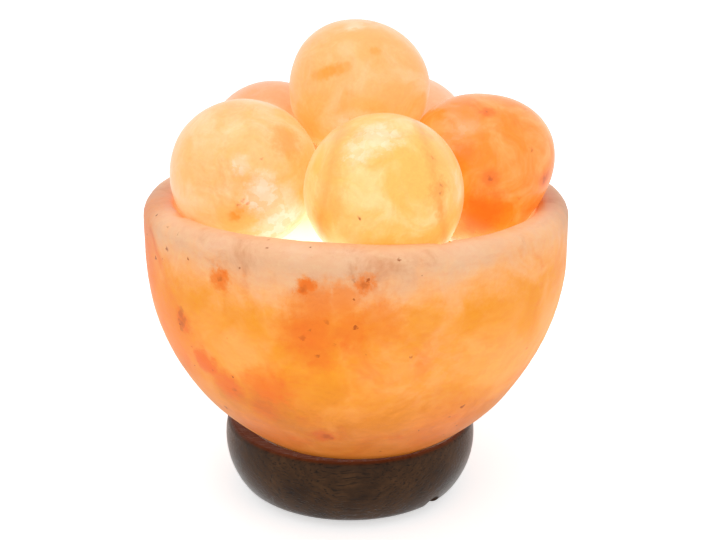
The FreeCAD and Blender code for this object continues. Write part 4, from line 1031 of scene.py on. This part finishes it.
def make_screw(name, foot, top, head_radius, x, y, turned_by):
    """A wood screw that stands on its head at a place in the base."""
    seat = foot + SCREW_HEAD
    body = [
        (0.01, foot),
        (head_radius - 0.6, foot),
        (head_radius, foot + 0.8, 0.9, 1),
        (head_radius, seat),
        (SCREW_SHANK, seat),
        (SCREW_SHANK, top - SCREW_POINT),
        (0.02, top),
        (0.01, top),
        (0.01, foot),
    ]
    screw = piece_of_grids(name, [
        rolled(body, seat + SCREW_PLAIN, top, SCREW_SIDES, SCREW_TURN, SCREW_DEPTH)], zinc_screw)
    bars = [make_bar(f"{name}_bar_{index}", foot, turn) for index, turn in enumerate((0, math.pi / 2))]
    for bar in bars:
        cut = screw.modifiers.new("recess", "BOOLEAN")
        cut.object = bar
        cut.operation = "DIFFERENCE"
    whole = bpy.data.meshes.new_from_object(screw.evaluated_get(bpy.context.evaluated_depsgraph_get()))
    screw.modifiers.clear()
    screw.data = whole
    for bar in bars:
        bpy.data.objects.remove(bar)
    screw.data.set_sharp_from_angle(angle=math.radians(35))
    screw.location = (x * MM, y * MM, 0)
    screw.rotation_euler = (0, 0, turned_by)
    return screw


screws_low, screws_high = span("base_screws")
SCREW_HEAD_RADIUS = 3.3
SCREW_CIRCLE, SCREW_AZIMUTHS = 26.5, (44, 134, 224)
screws = []
for index, azimuth in enumerate(SCREW_AZIMUTHS):
    angle = math.radians(azimuth)
    screw = make_screw(f"wood_screw_{index + 1}", screws_low[2], screws_high[2], SCREW_HEAD_RADIUS,
                       SCREW_CIRCLE * math.cos(angle), SCREW_CIRCLE * math.sin(angle), 0.6 * index)
    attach(screw, "base_and_bowl")
    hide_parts("base_screws")
    screws.append(screw)
print("screws:", [len(screw.data.vertices) for screw in screws])


# %% [markdown]
# ## The filament
#
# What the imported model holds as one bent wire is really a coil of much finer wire, white hot. A curve object
# with a bevel could carry it, but a coil along an arch is shorter to say as a formula: a point runs round a
# ring that itself moves along the arch.

# %% Coil the filament
COIL_TURNS = 44
COIL_RADIUS = 0.3
COIL_WIRE = 0.09
COIL_STEPS = 12     # points to a turn
FILAMENT_LEVEL = 30.0
COOL_START, COOL_END = 3.4, 5.2   # mm from the middle, where the leads draw heat off


def make_filament_tungsten():
    """Tungsten at a yellow-white heat, a little cooler where the leads draw heat off its ends."""
    material, surface, add = new_material("glowing tungsten", {"Metallic": 1.0, "Roughness": 0.4,
                                                          "Emission Strength": FILAMENT_LEVEL})
    across = add("SeparateXYZ", {0: add("TexCoord", out="Object")})
    across = add("Math", {0: across}, operation="ABSOLUTE")
    cooled = add("MapRange", {"Value": across, "From Min": COOL_START * MM, "From Max": COOL_END * MM})
    heat = add("Mix", {0: cooled, 6: linear("#ffe2ac"), 7: linear("#ff8f2e")}, data_type="RGBA", out=2)
    set_inputs(surface, {"Base Color": heat, "Emission Color": heat})
    return material


filament_low, filament_high = span("filament")
half_span = filament_high[0] - COIL_RADIUS
arch_foot = filament_low[2] + COIL_WIRE
arch_rise = filament_high[2] - arch_foot - COIL_RADIUS - COIL_WIRE
shares = np.linspace(-1, 1, COIL_TURNS * COIL_STEPS + 1)
arch = np.stack([half_span * shares, 0 * shares, arch_foot + arch_rise * (1 - shares ** 4)], axis=1)
ahead = np.gradient(arch, axis=0)
ahead /= np.linalg.norm(ahead, axis=1)[:, None]
sideways = np.array([0.0, 1.0, 0.0])
upward = np.cross(ahead, sideways)
wound = np.arange(len(shares)) * 2 * math.pi / COIL_STEPS
coil = arch + COIL_RADIUS * (np.cos(wound)[:, None] * upward + np.sin(wound)[:, None] * sideways)
run = np.gradient(coil, axis=0)
run /= np.linalg.norm(run, axis=1)[:, None]
outward = (coil - arch) / COIL_RADIUS
beside = np.cross(run, outward)
rim_turns = np.arange(6) * math.pi / 3
tube = coil[:, None, :] + COIL_WIRE * (np.cos(rim_turns)[None, :, None] * outward[:, None, :]
                                       + np.sin(rim_turns)[None, :, None] * beside[:, None, :])
filament_faces = grid_faces(len(coil), 6, closed=False)
filament_faces += [tuple(range(6)), tuple(len(coil) * 6 - 1 - corner for corner in range(6))]
filament = new_piece("coiled_filament", tube.reshape(-1, 3), filament_faces, make_filament_tungsten(), crease=60)
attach(filament, "bulb")
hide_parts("filament")
print("filament:", COIL_TURNS, "turns")
